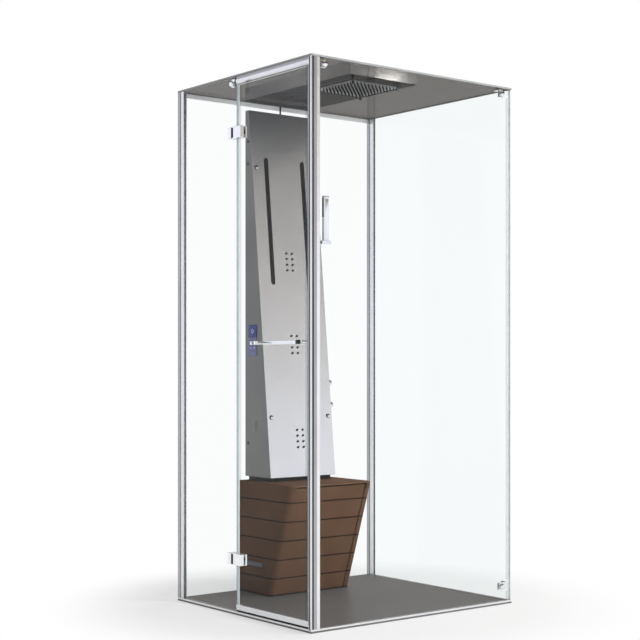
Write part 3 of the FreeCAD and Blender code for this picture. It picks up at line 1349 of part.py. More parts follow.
def build_hand_shower():
    """Flat hand shower standing in a socket of its holder on the column's right side."""
    front = WALL_Y - S.handset_from_wall
    x = (S.handset_x, S.handset_x + S.handset_width)
    y = (front, front + S.handset_depth)
    stick = block("Stick", x, y, (S.handset_foot, S.handset_top))
    spray_y = (y[0] + S.spray_margin, y[1] - S.spray_margin)
    recess = block("SprayRecess", (x[0], x[0] + S.spray_thick), spray_y, (S.spray_foot, S.spray_top))
    node("handset_body", cut("Handset", stick, recess))
    node("handset_spray_face", block("SprayFace", (x[0], x[0] + S.spray_thick), spray_y,
                                     (S.spray_foot, S.spray_top)))

    holder_z = (S.holder_top - S.holder_height, S.holder_top)
    tray = block("HolderArm", (COLUMN_RIGHT, S.holder_right_x),
                 (y[0] - S.holder_margin, y[1] + S.holder_margin), holder_z)
    lug = block("HolderLug", (COLUMN_RIGHT, COLUMN_RIGHT + S.holder_lug_width),
                (y[1] - S.holder_margin, y[1] + S.holder_margin),
                (holder_z[0] - S.holder_lug, holder_z[0]))
    play = S.handset_play
    socket = block("HolderSocket", (x[0] - play, x[1] + play), (y[0] - play, y[1] + play),
                   (S.holder_top - S.socket_depth, S.holder_top))
    node("handset_holder", cut("Holder", joined("HolderSolid", tray, lug), socket))


def seat_front(z):
    """The Y of the seat's sloping front at a height."""
    return WALL_Y - S.seat_foot_depth - SEAT_TAN * (as_size(z) - S.seat_foot)


def seat_prism(name, x, z, inwards, back):
    """A solid behind the seat's sloping front, from one height to another."""
    low, high = z
    return bar(name, "x", x, (
        (seat_front(low) + inwards, low), (back, low), (back, high),
        (seat_front(high) + inwards, high)))


def rounded(name, piece, radius, chosen):
    """A piece with the edges that pass a test rounded."""
    doc.recompute()
    edges = [(number, radius.value, radius.value)
             for number, edge in enumerate(piece.Shape.Edges, start=1) if chosen(edge)]
    fillet = doc.addObject("Part::Fillet", name)
    fillet.Base = piece
    fillet.Edges = edges
    return fillet


def slat_cutters(name, core):
    """Grooves that run round the seat: thin slabs without the core that stays."""
    slabs = []
    for index in range(int(S.slat_count.value)):
        z = S.slat_first + S.slat_pitch * index
        slabs.append(block(f"{name}Slab{index}", (SEAT_LEFT, SEAT_RIGHT),
                           (seat_front(S.seat_top), WALL_Y), around(z, S.slat_groove_width / 2)))
    return cut(name, joined(f"{name}Slabs", *slabs), core)


def build_seat():
    """Seat shell with a separate front panel, a plinth and the steam outlet."""
    whole_z = (S.seat_foot, S.seat_top)
    outer = seat_prism("SeatOuter", (SEAT_LEFT, SEAT_RIGHT), whole_z, ZERO, WALL_Y)

    def is_front_upright(edge):
        box = edge.BoundBox
        return box.XLength < 0.01 and box.ZLength > 1 and box.YMin < seat_front(S.seat_foot).value + 1

    def is_top_side(edge):
        box = edge.BoundBox
        at_top = box.ZLength < 0.01 and abs(box.ZMax - S.seat_top.value) < 0.01
        return at_top and box.YMin < WALL_Y.value - 1

    soft = rounded("SeatCorners", outer, S.seat_corner_r, is_front_upright)
    soft = rounded("SeatEdges", soft, S.seat_edge_r, is_top_side)
    cavity = seat_prism("SeatCavity", (SEAT_LEFT + S.seat_wall, SEAT_RIGHT - S.seat_wall),
                        (S.seat_foot, S.seat_top - S.seat_top_wall), S.front_panel_thick, WALL_Y)
    window_right = S.front_panel_right + S.front_panel_gap
    window = block("SeatWindow", (PANEL_LEFT - S.front_panel_left_gap, window_right),
                   (seat_front(S.seat_top), WALL_Y), (S.seat_foot, PANEL_TOP + S.front_panel_gap))
    depth = S.slat_groove_depth
    core = seat_prism("SeatCore", (SEAT_LEFT + depth, SEAT_RIGHT - depth), whole_z, depth, WALL_Y)
    grooves = slat_cutters("SeatGrooves", core)
    outlet_y = (WALL_Y - S.outlet_near, WALL_Y - S.outlet_far)
    sleeve_y = (outlet_y[0] + S.outlet_margin, outlet_y[1] - S.outlet_margin)
    outlet_z = around(S.outlet_height, S.outlet_slot / 2)
    sleeve_z = (outlet_z[0] + S.outlet_margin, outlet_z[1] - S.outlet_margin)
    play = S.outlet_play
    outlet_hole = block("OutletHole", (SEAT_LEFT, SEAT_LEFT + S.seat_wall),
                        (sleeve_y[0] - play, sleeve_y[1] + play),
                        (sleeve_z[0] - play, sleeve_z[1] + play))
    node("seat_body", cut("SeatBody", soft, cavity, window, grooves, outlet_hole))

    panel_span = (PANEL_LEFT, S.front_panel_right)
    panel = seat_prism("PanelSolid", panel_span, (S.seat_foot, PANEL_TOP), ZERO,
                       seat_front(S.seat_foot) + S.front_panel_thick)
    behind = seat_prism("PanelBehind", panel_span, (S.seat_foot, PANEL_TOP), S.front_panel_thick,
                        seat_front(S.seat_foot) + S.front_panel_thick * 2)
    panel_core = seat_prism("PanelCore", (SEAT_LEFT, SEAT_RIGHT), whole_z, depth, WALL_Y)
    node("seat_front_panel", cut("SeatPanel", panel, behind, slat_cutters("PanelGrooves", panel_core)))

    front_y = seat_front(S.seat_foot) + S.plinth_inset
    plinth_x = (SEAT_LEFT + S.plinth_inset, SEAT_RIGHT - S.plinth_inset)
    plinth_z = (S.tray_thick, S.seat_foot)
    solid = block("PlinthSolid", plinth_x, (front_y, WALL_Y), plinth_z)
    middle = block("PlinthMiddle", (plinth_x[0] + S.plinth_wall, plinth_x[1] - S.plinth_wall),
                   (front_y + S.plinth_wall, WALL_Y), plinth_z)
    node("seat_plinth", cut("Plinth", solid, middle))

    flange = block("OutletFlange", (SEAT_LEFT - S.outlet_flange, SEAT_LEFT), outlet_y, outlet_z)
    sleeve = block("OutletSleeve", (SEAT_LEFT, SEAT_LEFT + S.seat_wall), sleeve_y, sleeve_z)
    wall = S.outlet_flange
    way = block("OutletWay", (SEAT_LEFT - S.outlet_flange, SEAT_LEFT + S.seat_wall - wall),
                (sleeve_y[0] + wall, sleeve_y[1] - wall), (sleeve_z[0] + wall, sleeve_z[1] - wall))
    middle_y = (outlet_y[0] + outlet_y[1]) / 2
    port = rod("OutletPort", S.steam_pipe_r - S.pipe_wall,
               (SEAT_LEFT + S.seat_wall, middle_y, S.outlet_height), "-x", wall)
    node("steam_outlet", cut("Outlet", joined("OutletSolid", flange, sleeve), way, port))
    return middle_y


def build_steam(outlet_y):
    """Boiler, heating element, steam pipe and control box inside the seat."""
    y = WALL_Y - S.boiler_from_wall
    length = S.boiler_right - S.boiler_left
    drum = rod("Drum", S.boiler_r, (S.boiler_left, y, S.boiler_height), "+x", length)
    feet = []
    for index, x in enumerate((S.boiler_left + S.boiler_foot_inset,
                               S.boiler_right - S.boiler_foot_inset - S.boiler_foot_width)):
        feet.append(block(f"BoilerFoot{index}", (x, x + S.boiler_foot_width),
                          around(y, S.boiler_foot_half),
                          (S.tray_thick, S.boiler_height - S.boiler_r / 2)))
    wall = S.boiler_wall
    hollow = rod("DrumHollow", S.boiler_r - wall, (S.boiler_left + wall, y, S.boiler_height), "+x",
                 length - wall * 2)
    element_z = S.boiler_height - S.element_drop
    mouth = rod("DrumMouth", S.element_hole_r, (S.boiler_right, y, element_z), "-x", wall)
    steam_way = rod("DrumSteamWay", S.steam_pipe_r - S.pipe_wall,
                    (S.boiler_left, outlet_y, S.outlet_height), "+x", wall)
    node("steam_boiler", cut("Boiler", joined("BoilerSolid", drum, *feet), hollow, mouth, steam_way))

    flange = rod("ElementFlange", S.element_flange_r, (S.boiler_right, y, element_z), "+x",
                 S.element_flange_thick)
    end_x = S.boiler_right - S.element_rod_length
    rods = []
    for side in (-1, 1):
        rod_y = y + S.element_rod_spread * side / 2
        rods.append(rod(f"ElementRod{side + 1}", S.element_rod_r, (S.boiler_right, rod_y, element_z),
                        "-x", S.element_rod_length))
        rods.append(ball(f"ElementEnd{side + 1}", S.element_rod_r, (end_x, rod_y, element_z)))
    bridge = rod("ElementBridge", S.element_rod_r,
                 (end_x, y - S.element_rod_spread / 2, element_z), "+y", S.element_rod_spread)
    node("heating_element", joined("Element", flange, bridge, *rods))

    start = SEAT_LEFT + S.seat_wall
    outer = rod("SteamOuter", S.steam_pipe_r, (start, outlet_y, S.outlet_height), "+x",
                S.boiler_left - start)
    inner = rod("SteamInner", S.steam_pipe_r - S.pipe_wall, (start, outlet_y, S.outlet_height), "+x",
                S.boiler_left - start)
    node("steam_pipe", cut("SteamPipe", outer, inner))

    case_right = SEAT_RIGHT - S.seat_wall
    case_front = WALL_Y - S.control_from_wall
    case_back = case_front + S.control_depth
    case = block("ControlCase", (case_right - S.control_width, case_right), (case_front, case_back),
                 (S.control_foot, S.control_foot + S.control_height))
    gland_x = case_right - S.control_width / 2
    gland_z = S.control_foot + S.control_height / 2
    gland = rod("Gland", S.gland_r, (gland_x, case_back, gland_z), "+y", WALL_Y - case_back)
    gland_bore = rod("GlandBore", S.gland_bore_r, (gland_x, case_back, gland_z), "+y",
                     WALL_Y - case_back)
    node("control_box", joined("ControlSolid", case, cut("GlandRing", gland, gland_bore)))


def check_and_write():
    """Stop on any failed feature or bad shape, then write each sub-part to its own file."""
    doc.recompute()
    for item in doc.Objects:
        if "Invalid" in item.State or "Error" in item.State:
            raise RuntimeError(f"{item.Label} failed: {item.State}")
    os.makedirs("parts", exist_ok=True)
    for piece in nodes:
        shape = piece.Shape
        if shape.isNull() or not shape.isValid() or not shape.Solids:
            raise RuntimeError(f"{piece.Label} has no valid solid")
    for piece in nodes:
        piece.Shape.exportStep(f"parts/{piece.Label}.step")
    print(f"{len(nodes)} sub-parts, {sum(len(piece.Shape.Solids) for piece in nodes)} solids")


build_tray()
build_rails()
build_post()
build_wall_profiles()
build_head_rails()
build_panes()
build_connectors()
build_door()
build_hinges()
build_handle()
build_rain_head()
build_column()
build_water()
build_hand_shower()
build_steam(build_seat())
check_and_write()
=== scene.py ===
"""Steam shower cabin: finishes, detailed pieces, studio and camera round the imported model.

Lengths in the classes are millimetres in the model's frame: X runs along the wall to the right,
Y runs towards the wall and Z is up. Meshes, lamps and the camera are placed in metres.
"""

import json
import logging
import math
from dataclasses import dataclass, replace
from enum import Enum
from typing import Any, Callable, Iterable, Sequence

import bmesh
import bpy
import numpy as np
from mathutils import Matrix

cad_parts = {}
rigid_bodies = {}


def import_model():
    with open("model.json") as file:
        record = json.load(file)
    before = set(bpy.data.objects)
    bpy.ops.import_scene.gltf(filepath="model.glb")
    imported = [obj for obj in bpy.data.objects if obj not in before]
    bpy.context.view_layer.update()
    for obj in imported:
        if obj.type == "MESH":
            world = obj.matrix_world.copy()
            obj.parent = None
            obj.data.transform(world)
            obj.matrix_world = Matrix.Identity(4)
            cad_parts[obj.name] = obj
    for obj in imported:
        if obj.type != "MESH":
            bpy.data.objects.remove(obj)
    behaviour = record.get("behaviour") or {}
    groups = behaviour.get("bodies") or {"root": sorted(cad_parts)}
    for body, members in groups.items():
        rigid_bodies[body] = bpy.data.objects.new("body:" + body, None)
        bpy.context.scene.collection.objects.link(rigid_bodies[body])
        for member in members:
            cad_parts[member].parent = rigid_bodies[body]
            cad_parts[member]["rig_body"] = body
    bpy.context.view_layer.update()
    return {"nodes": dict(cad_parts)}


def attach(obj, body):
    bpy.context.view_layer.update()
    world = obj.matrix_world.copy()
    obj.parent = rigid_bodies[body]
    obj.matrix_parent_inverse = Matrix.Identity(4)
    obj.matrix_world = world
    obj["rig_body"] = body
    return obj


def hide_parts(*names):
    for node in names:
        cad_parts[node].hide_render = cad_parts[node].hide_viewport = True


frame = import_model()
LOG = logging.getLogger("shower_cabin")
MM = 0.001
MERGE = 1e-5
SHARP = math.radians(30)
# Neighbouring faces this flat to each other are joined
FLAT = math.radians(0.4)
# A face looks along an axis if its normal has more than this of it
FACING = 0.9
WHITE = (1.0, 1.0, 1.0, 1.0)
LEFT, RIGHT = (-1.0, 0.0, 0.0), (1.0, 0.0, 0.0)
FORWARD, BACK = (0.0, -1.0, 0.0), (0.0, 1.0, 0.0)
DOWN, UP = (0.0, 0.0, -1.0), (0.0, 0.0, 1.0)

Tree = bpy.types.NodeTree
Socket = bpy.types.NodeSocket
Pair = tuple[float, float]
Point = tuple[float, float, float]
Profile = Sequence[Pair]
Chooser = Callable[[np.ndarray, np.ndarray], np.ndarray]


def linear(colour: str) -> tuple[float, float, float, float]:
    """Turn an sRGB hex colour into linear light.

    Args:
        colour: "#rrggbb".

    Returns:
        Red, green, blue and an alpha of 1.
    """
    parts = np.array([int(colour[i:i + 2], 16) for i in (1, 3, 5)]) / 255
    light = np.where(parts <= 0.04045, parts / 12.92, ((parts + 0.055) / 1.055) ** 2.4)
    return (*light.tolist(), 1.0)


def add(tree: Tree, kind: str, sockets: dict[Any, Any] | None = None,
        **settings: Any) -> bpy.types.Node:
    """Add a node, set its properties, and fill or link its inputs.

    Args:
        tree: The node tree that gets the node.
        kind: The node's type, without its ShaderNode in front.
        sockets: Input name or number to a value, or to the output that feeds it.
        settings: Properties of the node.

    Returns:
        The new node.
    """
    made = tree.nodes.new(f"ShaderNode{kind}")
    for name, value in settings.items():
        setattr(made, name, value)
    for key, value in (sockets or {}).items():
        if isinstance(value, Socket):
            tree.links.new(value, made.inputs[key])
        else:
            made.inputs[key].default_value = value
    return made


def emptied(owner: bpy.types.Material | bpy.types.World) -> Tree:
    """Clear a material or a world.

    Args:
        owner: The material or world.

    Returns:
        Its node tree, with nothing in it.
    """
    owner.use_nodes = True
    owner.node_tree.nodes.clear()
    return owner.node_tree


def stand(name: str, data: bpy.types.ID) -> bpy.types.Object:
    """Put a new object into the scene, at the origin.

    Args:
        name: The object's name.
        data: Its mesh, lamp or camera.

    Returns:
        The object.
    """
    made = bpy.data.objects.new(name, data)
    bpy.context.scene.collection.objects.link(made)
    return made


class Grain(Enum):
    """The way a surface was drawn, rolled or brushed, as the stretch of its marks."""

    NONE = (1.0, 1.0, 1.0)
    ALONG_X = (0.015, 1.0, 1.0)
    ALONG_Y = (1.0, 0.015, 1.0)
    ALONG_Z = (1.0, 1.0, 0.015)


# Where most of a noise lies, and how strongly the marks bend the light
NOISE_RUN = (0.3, 0.7)
BUMP = 0.6
# Painted shade: crevices darken where less than this share of the sky is open
OPEN_SKY = (0.5, 0.97)
CREVICE_SHADE = (0.12, 0.12, 0.12)
# A joint's dark middle and its outer edge, from its centre line; the dark is partly painted shade
# in the grooves
JOINT_HALF_MM = (1.6, 3.4)
JOINT_SHADE = (0.18, 0.16, 0.15)
GLASS_INDEX = 1.52


@dataclass(frozen=True)
class Finish:
    """A surface: its name, the record's slot, its colour and the colour it drifts to.

    Each finish has marks of a size in millimetres, which carry its bump and its gloss, and
    patches of a larger size, over which the colour drifts. Where it has a crevice width, grooves
    and gaps narrower than that are darkened by painted shade, as far as they are closed to the
    sky. Where it has a joint height, it is made of level boards of that height, with one joint at
    `joint_at_mm`; the joints are dark, partly with painted shade.
    """

    name: str
    slot: str
    colour: str
    drift: str
    rough: float
    rough_spread: float = 0.015
    mark_mm: float = 2.0
    mark_depth_mm: float = 0.003
    patch_mm: float = 120.0
    crevice_mm: float = 0.0
    joint_mm: float = 0.0
    joint_at_mm: float = 0.0
    specular: float = 0.5
    grain: Grain = Grain.NONE

    def noise(self, tree: Tree, size_mm: float, grain: Grain = Grain.NONE,
              detail: float = 3.0) -> Socket:
        """Soft blotches of one size in the piece's own coordinates.

        Args:
            tree: The material's nodes.
            size_mm: How wide a blotch is.
            grain: The direction in which the blotches are drawn out.
            detail: How many finer layers are added.

        Returns:
            The blotches, about 0.3 to 0.7.
        """
        coords = add(tree, "TexCoord")
        scale = tuple(stretch / (size_mm * MM) for stretch in grain.value)
        mapped = add(tree, "Mapping", {"Vector": coords.outputs["Object"], "Scale": scale})
        blotches = add(tree, "TexNoise", {
            "Vector": mapped.outputs[0], "Scale": 1.0, "Detail": detail, "Roughness": 0.55})
        return blotches.outputs[0]

    def cells(self, tree: Tree, size_mm: float) -> Socket:
        """Cells of one size in the piece's own coordinates, each with its own grey.

        Args:
            tree: The material's nodes.
            size_mm: How wide a cell is.

        Returns:
            The cells' greys, 0 to 1.
        """
        coords = add(tree, "TexCoord")
        made = add(tree, "TexVoronoi", {
            "Vector": coords.outputs["Object"], "Scale": 1 / (size_mm * MM)})
        return add(tree, "RGBToBW", {"Color": made.outputs["Color"]}).outputs[0]

    def marks(self, tree: Tree) -> Socket:
        """The height of the fine marks, 0 to 1."""
        return self.noise(tree, self.mark_mm, self.grain)

    def beside_joints(self, tree: Tree) -> Socket:
        """Where the level joints between the boards lie.

        The height above one joint, folded to and fro over half a board's height, is the distance
        from the nearest joint.

        Args:
            tree: The material's nodes.

        Returns:
            0 in the joints and 1 beside them.
        """
        coords = add(tree, "TexCoord")
        height = add(tree, "SeparateXYZ", {0: coords.outputs["Object"]})
        above = add(tree, "Math", {0: height.outputs["Z"], 1: self.joint_at_mm * MM},
                    operation="SUBTRACT")
        away = add(tree, "Math", {0: above.outputs[0], 1: self.joint_mm / 2 * MM},
                   operation="PINGPONG")
        dark, light = JOINT_HALF_MM
        return add(tree, "MapRange", {
            "Value": away.outputs[0], "From Min": dark * MM, "From Max": light * MM}).outputs[0]

    def shadowed(self, tree: Tree, shown: Socket, light: Socket, shade: Point) -> Socket:
        """Darken a colour where little light comes.

        Args:
            tree: The material's nodes.
            shown: The colour.
            light: 0 in the shade and 1 in the open.
            shade: What the shade leaves of red, green and blue.

        Returns:
            The colour with its shade.
        """
        dark = add(tree, "VectorMath", {0: shown, 1: shade}, operation="MULTIPLY")
        return add(tree, "Mix", {0: light, 6: dark.outputs[0], 7: shown},
                   data_type="RGBA").outputs[2]

    def extra(self) -> dict[str, float]:
        """More inputs of the shader, for one kind of material."""
        return {}

    def skin(self, tree: Tree) -> dict[str, Any]:
        """Colour that drifts over the patches, with gloss and bump from the marks.

        Args:
            tree: The material's nodes.

        Returns:
            The sockets of a Principled shader that they fill.
        """
        marks = self.marks(tree)
        low, high = NOISE_RUN
        share = add(tree, "MapRange", {
            "Value": self.noise(tree, self.patch_mm), "From Min": low, "From Max": high})
        shown = add(tree, "Mix", {
            0: share.outputs[0], 6: linear(self.colour), 7: linear(self.drift)},
            data_type="RGBA").outputs[2]
        # Painted shade: crevices that see little of the sky are darkened
        if self.crevice_mm:
            sky = add(tree, "AmbientOcclusion", {"Distance": self.crevice_mm * MM}, samples=8)
            light = add(tree, "MapRange", {
                "Value": sky.outputs["AO"], "From Min": OPEN_SKY[0], "From Max": OPEN_SKY[1]})
            shown = self.shadowed(tree, shown, light.outputs[0], CREVICE_SHADE)
        # Dark joints between the boards, partly painted shade in their grooves
        if self.joint_mm:
            shown = self.shadowed(tree, shown, self.beside_joints(tree), JOINT_SHADE)
        gloss = add(tree, "MapRange", {
            "Value": marks, "From Min": low, "From Max": high,
            "To Min": self.rough - self.rough_spread, "To Max": self.rough + self.rough_spread})
        bump = add(tree, "Bump", {
            "Height": marks, "Distance": self.mark_depth_mm * MM, "Strength": BUMP})
        return {"Base Color": shown, "Roughness": gloss.outputs[0], "Normal": bump.outputs[0],
                "Specular IOR Level": self.specular} | self.extra()

    def shade(self, tree: Tree) -> Socket:
        """The finish's shader."""
        return add(tree, "BsdfPrincipled", self.skin(tree)).outputs[0]

    def material(self) -> bpy.types.Material:
        """The finish's material, which is made at its first use.

        Returns:
            The material.
        """
        made = bpy.data.materials.get(self.name)
        if made is None:
            made = bpy.data.materials.new(self.name)
            tree = emptied(made)
            add(tree, "OutputMaterial", {"Surface": self.shade(tree)})
        return made


@dataclass(frozen=True)
class WorkedMetal(Finish):
    """Metal that keeps the marks of its making: drawn, brushed, cast or polished."""

    metallic: float = 1.0

    def extra(self) -> dict[str, float]:
        """How far it mirrors as bare metal does."""
        return {"Metallic": self.metallic}


@dataclass(frozen=True)
class SpangledZinc(WorkedMetal):
    """Hot-dip galvanised sheet: flat crystals, each with its own grey."""

    def marks(self, tree: Tree) -> Socket:
        """The zinc's crystals."""
        return self.cells(tree, self.mark_mm)


@dataclass(frozen=True)
class Moulded(Finish):
    """Moulded plastic or rubber: fine mould grain, with the gloss of its tool."""

    coat: float = 0.0

    def extra(self) -> dict[str, float]:
        """The clear skin over it."""
        return {"Coat Weight": self.coat, "Coat Roughness": 0.08}


@dataclass(frozen=True)
class MineralStone(Finish):
    """Cast mineral composite: grit of a lighter and a darker stone under a satin gel coat.

    A grit shows where its cells' grey runs from the first share to the second.
    """

    grit_mm: float = 2.4
    grit_share: float = 0.45
    light_grit: tuple[float, float, str] = (0.62, 0.72, "#8a8786")
    dark_grit: tuple[float, float, str] = (0.38, 0.28, "#4b4a4a")

    def skin(self, tree: Tree) -> dict[str, Any]:
        """The drifting skin with two kinds of grit in it.

        Args:
            tree: The material's nodes.

        Returns:
            The sockets of a Principled shader that they fill.
        """
        sockets = super().skin(tree)
        grit = self.cells(tree, self.grit_mm)
        for start, end, colour in (self.light_grit, self.dark_grit):
            share = add(tree, "MapRange", {
                "Value": grit, "From Min": start, "From Max": end, "To Max": self.grit_share})
            sockets["Base Color"] = add(tree, "Mix", {
                0: share.outputs[0], 6: sockets["Base Color"], 7: linear(colour)},
                data_type="RGBA").outputs[2]
        return sockets


@dataclass(frozen=True)
class ToughenedGlass(Finish):
    """Toughened float glass: clear through its faces, with the faint waves of the furnace rollers.

    A pane is so thin beside its width that light goes straight through it, tinted once at each
    face, and only the share that Fresnel's law gives is mirrored. The drift is the tint of a face,
    and the low-reflection coat leaves `bare_share` of the mirrored part.
    """

    bare_share: float = 0.16

    def shade(self, tree: Tree) -> Socket:
        """Tinted air with a faint mirror on it, for what is seen; plain tinted air for lamps.

        Args:
            tree: The material's nodes.

        Returns:
            The shader.
        """
        bump = add(tree, "Bump", {
            "Height": self.noise(tree, self.mark_mm, detail=1.0),
            "Distance": self.mark_depth_mm * MM, "Strength": BUMP / 2}).outputs[0]
        mirror = add(tree, "BsdfPrincipled", {
            "Base Color": linear(self.colour), "Metallic": 1.0, "Roughness": self.rough,
            "Normal": bump})
        air = add(tree, "BsdfTransparent", {"Color": linear(self.drift)})
        # Fresnel's node inverts the index on a face's inner side, so it gets it inverted there
        inner = add(tree, "NewGeometry").outputs["Backfacing"]
        index = add(tree, "MapRange", {
            "Value": inner, "To Min": GLASS_INDEX, "To Max": 1 / GLASS_INDEX})
        bare = add(tree, "Fresnel", {"IOR": index.outputs[0], "Normal": bump})
        path = add(tree, "LightPath")
        seen = add(tree, "Math", {0: path.outputs["Is Camera Ray"], 1: self.bare_share},
                   operation="MULTIPLY")
        share = add(tree, "Math", {0: seen.outputs[0], 1: bare.outputs[0]}, operation="MULTIPLY")
        return add(tree, "MixShader", {
            0: share.outputs[0], 1: air.outputs[0], 2: mirror.outputs[0]}).outputs[0]


# Belt lines, brush lines, die lines, mould grain, orange peel and wood fibres are 0.05 to 0.3 mm
# wide on the real thing, which is too fine to show in the render, so they are drawn about ten times
# as coarse. Spangles, grit, wipe marks, tarnish and the glass's waves have their real size.

# Extruded bars, polished and anodised: bright, with faint lines along the die
ALUMINIUM = WorkedMetal("polished_anodised_aluminium", "bright_aluminium", "#efeff1", "#e6e7ea",
                        rough=0.17, mark_mm=1.6, mark_depth_mm=0.0003, metallic=0.75,
                        grain=Grain.ALONG_Z)
ALUMINIUM_X = replace(ALUMINIUM, name="polished_anodised_aluminium_x", grain=Grain.ALONG_X)
ALUMINIUM_Y = replace(ALUMINIUM, name="polished_anodised_aluminium_y", grain=Grain.ALONG_Y)
# The rail at the wall is satin white, so that it doesn't mirror the dark roof
PALE_RAIL = replace(ALUMINIUM_X, name="satin_white_anodised_rail", colour="#f6f6f7",
                    drift="#eeeef0", rough=0.4, metallic=0.25)
# The same bars where they are left satin, a shade greyer; on the corner post's band and the
# header's step the grey is partly painted shade
SATIN_AND_SHADE = replace(ALUMINIUM, name="satin_aluminium_and_painted_shade", colour="#b6b6ba", drift="#acacb0",
                rough=0.34)
# The grooves of the bars, dark with shade and a black gasket
SEAM = Finish("black_gasket_in_groove", "bright_aluminium", "#2b2b2d", "#353537", rough=0.6,
              mark_mm=0.9, mark_depth_mm=0.0045)
# Plated brass, polished: mirror bright, with only wipe marks
CHROME = WorkedMetal("polished_chrome_plate", "chrome", "#eff0f2", "#e8e9ec", rough=0.06,
                     rough_spread=0.02, mark_mm=9, mark_depth_mm=0.0006, patch_mm=40)
# Chrome darkened to a grey mirror as a painted reflection of the dim space over the bather, for the
# studs there
DIMMED_CHROME = replace(CHROME, name="chrome_plate_painted_dim", colour="#77787b", drift="#6c6d70",
                       rough=0.12)
# Copper tube under the same chrome: a mirror with no colour of its own
PLATED_TUBE = replace(CHROME, name="chrome_plated_copper_tube", slot="copper_pipe")
# Sheet ground with a fine belt: satin, with drawn-out lines
COLUMN_STEEL = WorkedMetal("belt_ground_steel_front", "column_steel", "#efeff2", "#e7e7ea",
                           rough=0.23, rough_spread=0.002, mark_mm=1.8, mark_depth_mm=0.00002,
                           patch_mm=300, grain=Grain.ALONG_X, metallic=0.9)
# The folded sides keep the mill's duller skin with upright lines; their darker colour is painted
# shade
COLUMN_SHADED_RETURN = replace(COLUMN_STEEL, name="mill_steel_return_painted_shade", colour="#7c7d7a",
                        drift="#70716f", rough=0.45, grain=Grain.ALONG_Z)
# Sheet brushed finely along its length: a soft grey mirror
STAINLESS = WorkedMetal("fine_brushed_stainless", "stainless", "#cfd0d1", "#c3c4c6", rough=0.24,
                        mark_mm=1.5, mark_depth_mm=0.0003, rough_spread=0.008, patch_mm=160,
                        grain=Grain.ALONG_X)
# The plate over the bather: brushed, its colour darkened as a painted reflection of the dim inside
DIMMED_PLATE_STEEL = replace(STAINLESS, name="brushed_stainless_plate_painted_dim", colour="#666768",
                      drift="#5c5d5e", rough=0.36, metallic=0.8)
# Bright annealed sheet: pale, with a soft sheen and next to no lines
RAIN_STEEL = replace(STAINLESS, name="bright_annealed_stainless_box", colour="#f2f2f2",
                     drift="#e8e8e9", rough=0.38, metallic=0.65)
# Powder baked on to metal: an even satin black with a faint orange peel
BLACK_METAL = Finish("satin_black_powder_coat", "black_metal", "#1c1c1d", "#242425", rough=0.4,
                     mark_mm=0.8, mark_depth_mm=0.0045, patch_mm=25)
# Steel dipped in zinc: flakes of light and dark grey
ZINC = SpangledZinc("galvanised_sheet", "galvanised", "#8f9395", "#7f8487", rough=0.42,
                    mark_mm=9, mark_depth_mm=0.0015, metallic=0.8)
# Sand-cast brass: matt yellow, slightly pitted
BRASS = WorkedMetal("cast_brass", "brass", "#c9a667", "#b08c50", rough=0.36, mark_mm=1.2,
                    mark_depth_mm=0.009, patch_mm=18)
# Drawn tube, tarnished in patches from pink to brown
COPPER = WorkedMetal("drawn_copper_tube", "copper_pipe", "#c98f6e", "#9c6446", rough=0.28,
                     mark_mm=2.5, mark_depth_mm=0.0015, patch_mm=35)
# Clear float glass: colourless face on, a trace of green in its depth
CLEAR_GLASS = ToughenedGlass("clear_toughened_glass", "clear_glass", "#f7f8f8", "#fdfefe",
                             rough=0.01, mark_mm=180, mark_depth_mm=0.0015)
# Body-tinted grey float glass: takes most of the light on its way through
GREY_GLASS = ToughenedGlass("grey_toughened_glass", "grey_glass", "#d8d8d8", "#a5a3a1",
                            rough=0.02, mark_mm=180, mark_depth_mm=0.0015, bare_share=0.2)
# The panes' edges, ground and polished: pale and slightly milky
GLASS_EDGE = Finish("ground_glass_edge", "clear_glass", "#f3f5f5", "#e9ecec", rough=0.22,
                    mark_mm=1.5, mark_depth_mm=0.0045, patch_mm=60)
# The grey pane's edges, ground the same way: the tint shows as a mid grey
GREY_EDGE = replace(GLASS_EDGE, name="ground_grey_glass_edge", slot="grey_glass",
                    colour="#a8aaaa", drift="#9c9f9e")
# Clear vinyl extrusions: nearly unseen against the glass, a little cloudy along their lips
CLEAR_SEAL = ToughenedGlass("clear_vinyl_seal", "clear_seal", "#eef0f1", "#f2f4f5", rough=0.12,
                            mark_mm=4, bare_share=0.2)
# A bead of sealant, a shade cloudier than the vinyl
SILICONE_BEAD = replace(CLEAR_SEAL, name="translucent_silicone_bead", colour="#dfe2e4", rough=0.3)
# White plastic over a magnet: even and satin
MAGNET = Moulded("white_magnet_strip", "white_magnet", "#d9d9d8", "#cfcfce", rough=0.45, mark_mm=1)
# Extruded rubber: deep black and matt
RUBBER = Moulded("black_wiper_rubber", "black_rubber", "#141414", "#1c1c1c", rough=0.7, mark_mm=0.9,
                 mark_depth_mm=0.0075)
# Moulded silicone rubber: black, with a dull bloom
SILICONE = Moulded("dark_silicone_nozzles", "dark_silicone", "#171718", "#1f1f20", rough=0.6,
                   mark_mm=0.8)
# Smoked acrylic over unlit lamps: black, with a soft sheen
LENS = Moulded("smoked_acrylic_lens", "smoked_lens", "#141415", "#1b1b1c", rough=0.4, mark_mm=1.2,
               mark_depth_mm=0.0015, specular=0.25)
# Glass printed blue on its back: deep colour under a clear gloss
TOUCH_GLASS = Moulded("back_printed_blue_glass", "blue_glass", "#22388a", "#2a4199", rough=0.15,
                      mark_mm=0.8, mark_depth_mm=0.00045, patch_mm=50, coat=0.2,
                      specular=0.3)
# The same glass with a paler print
KEY_GLASS = replace(TOUCH_GLASS, name="back_printed_pale_blue_glass", colour="#7c82b8",
                    drift="#7077ad")
# Screen-printed ink: flat, pale blue
PRINT = Moulded("pale_blue_print", "blue_glass", "#c9d6ff", "#b5c5f8", rough=0.3, mark_mm=0.5,
                mark_depth_mm=0.00075)
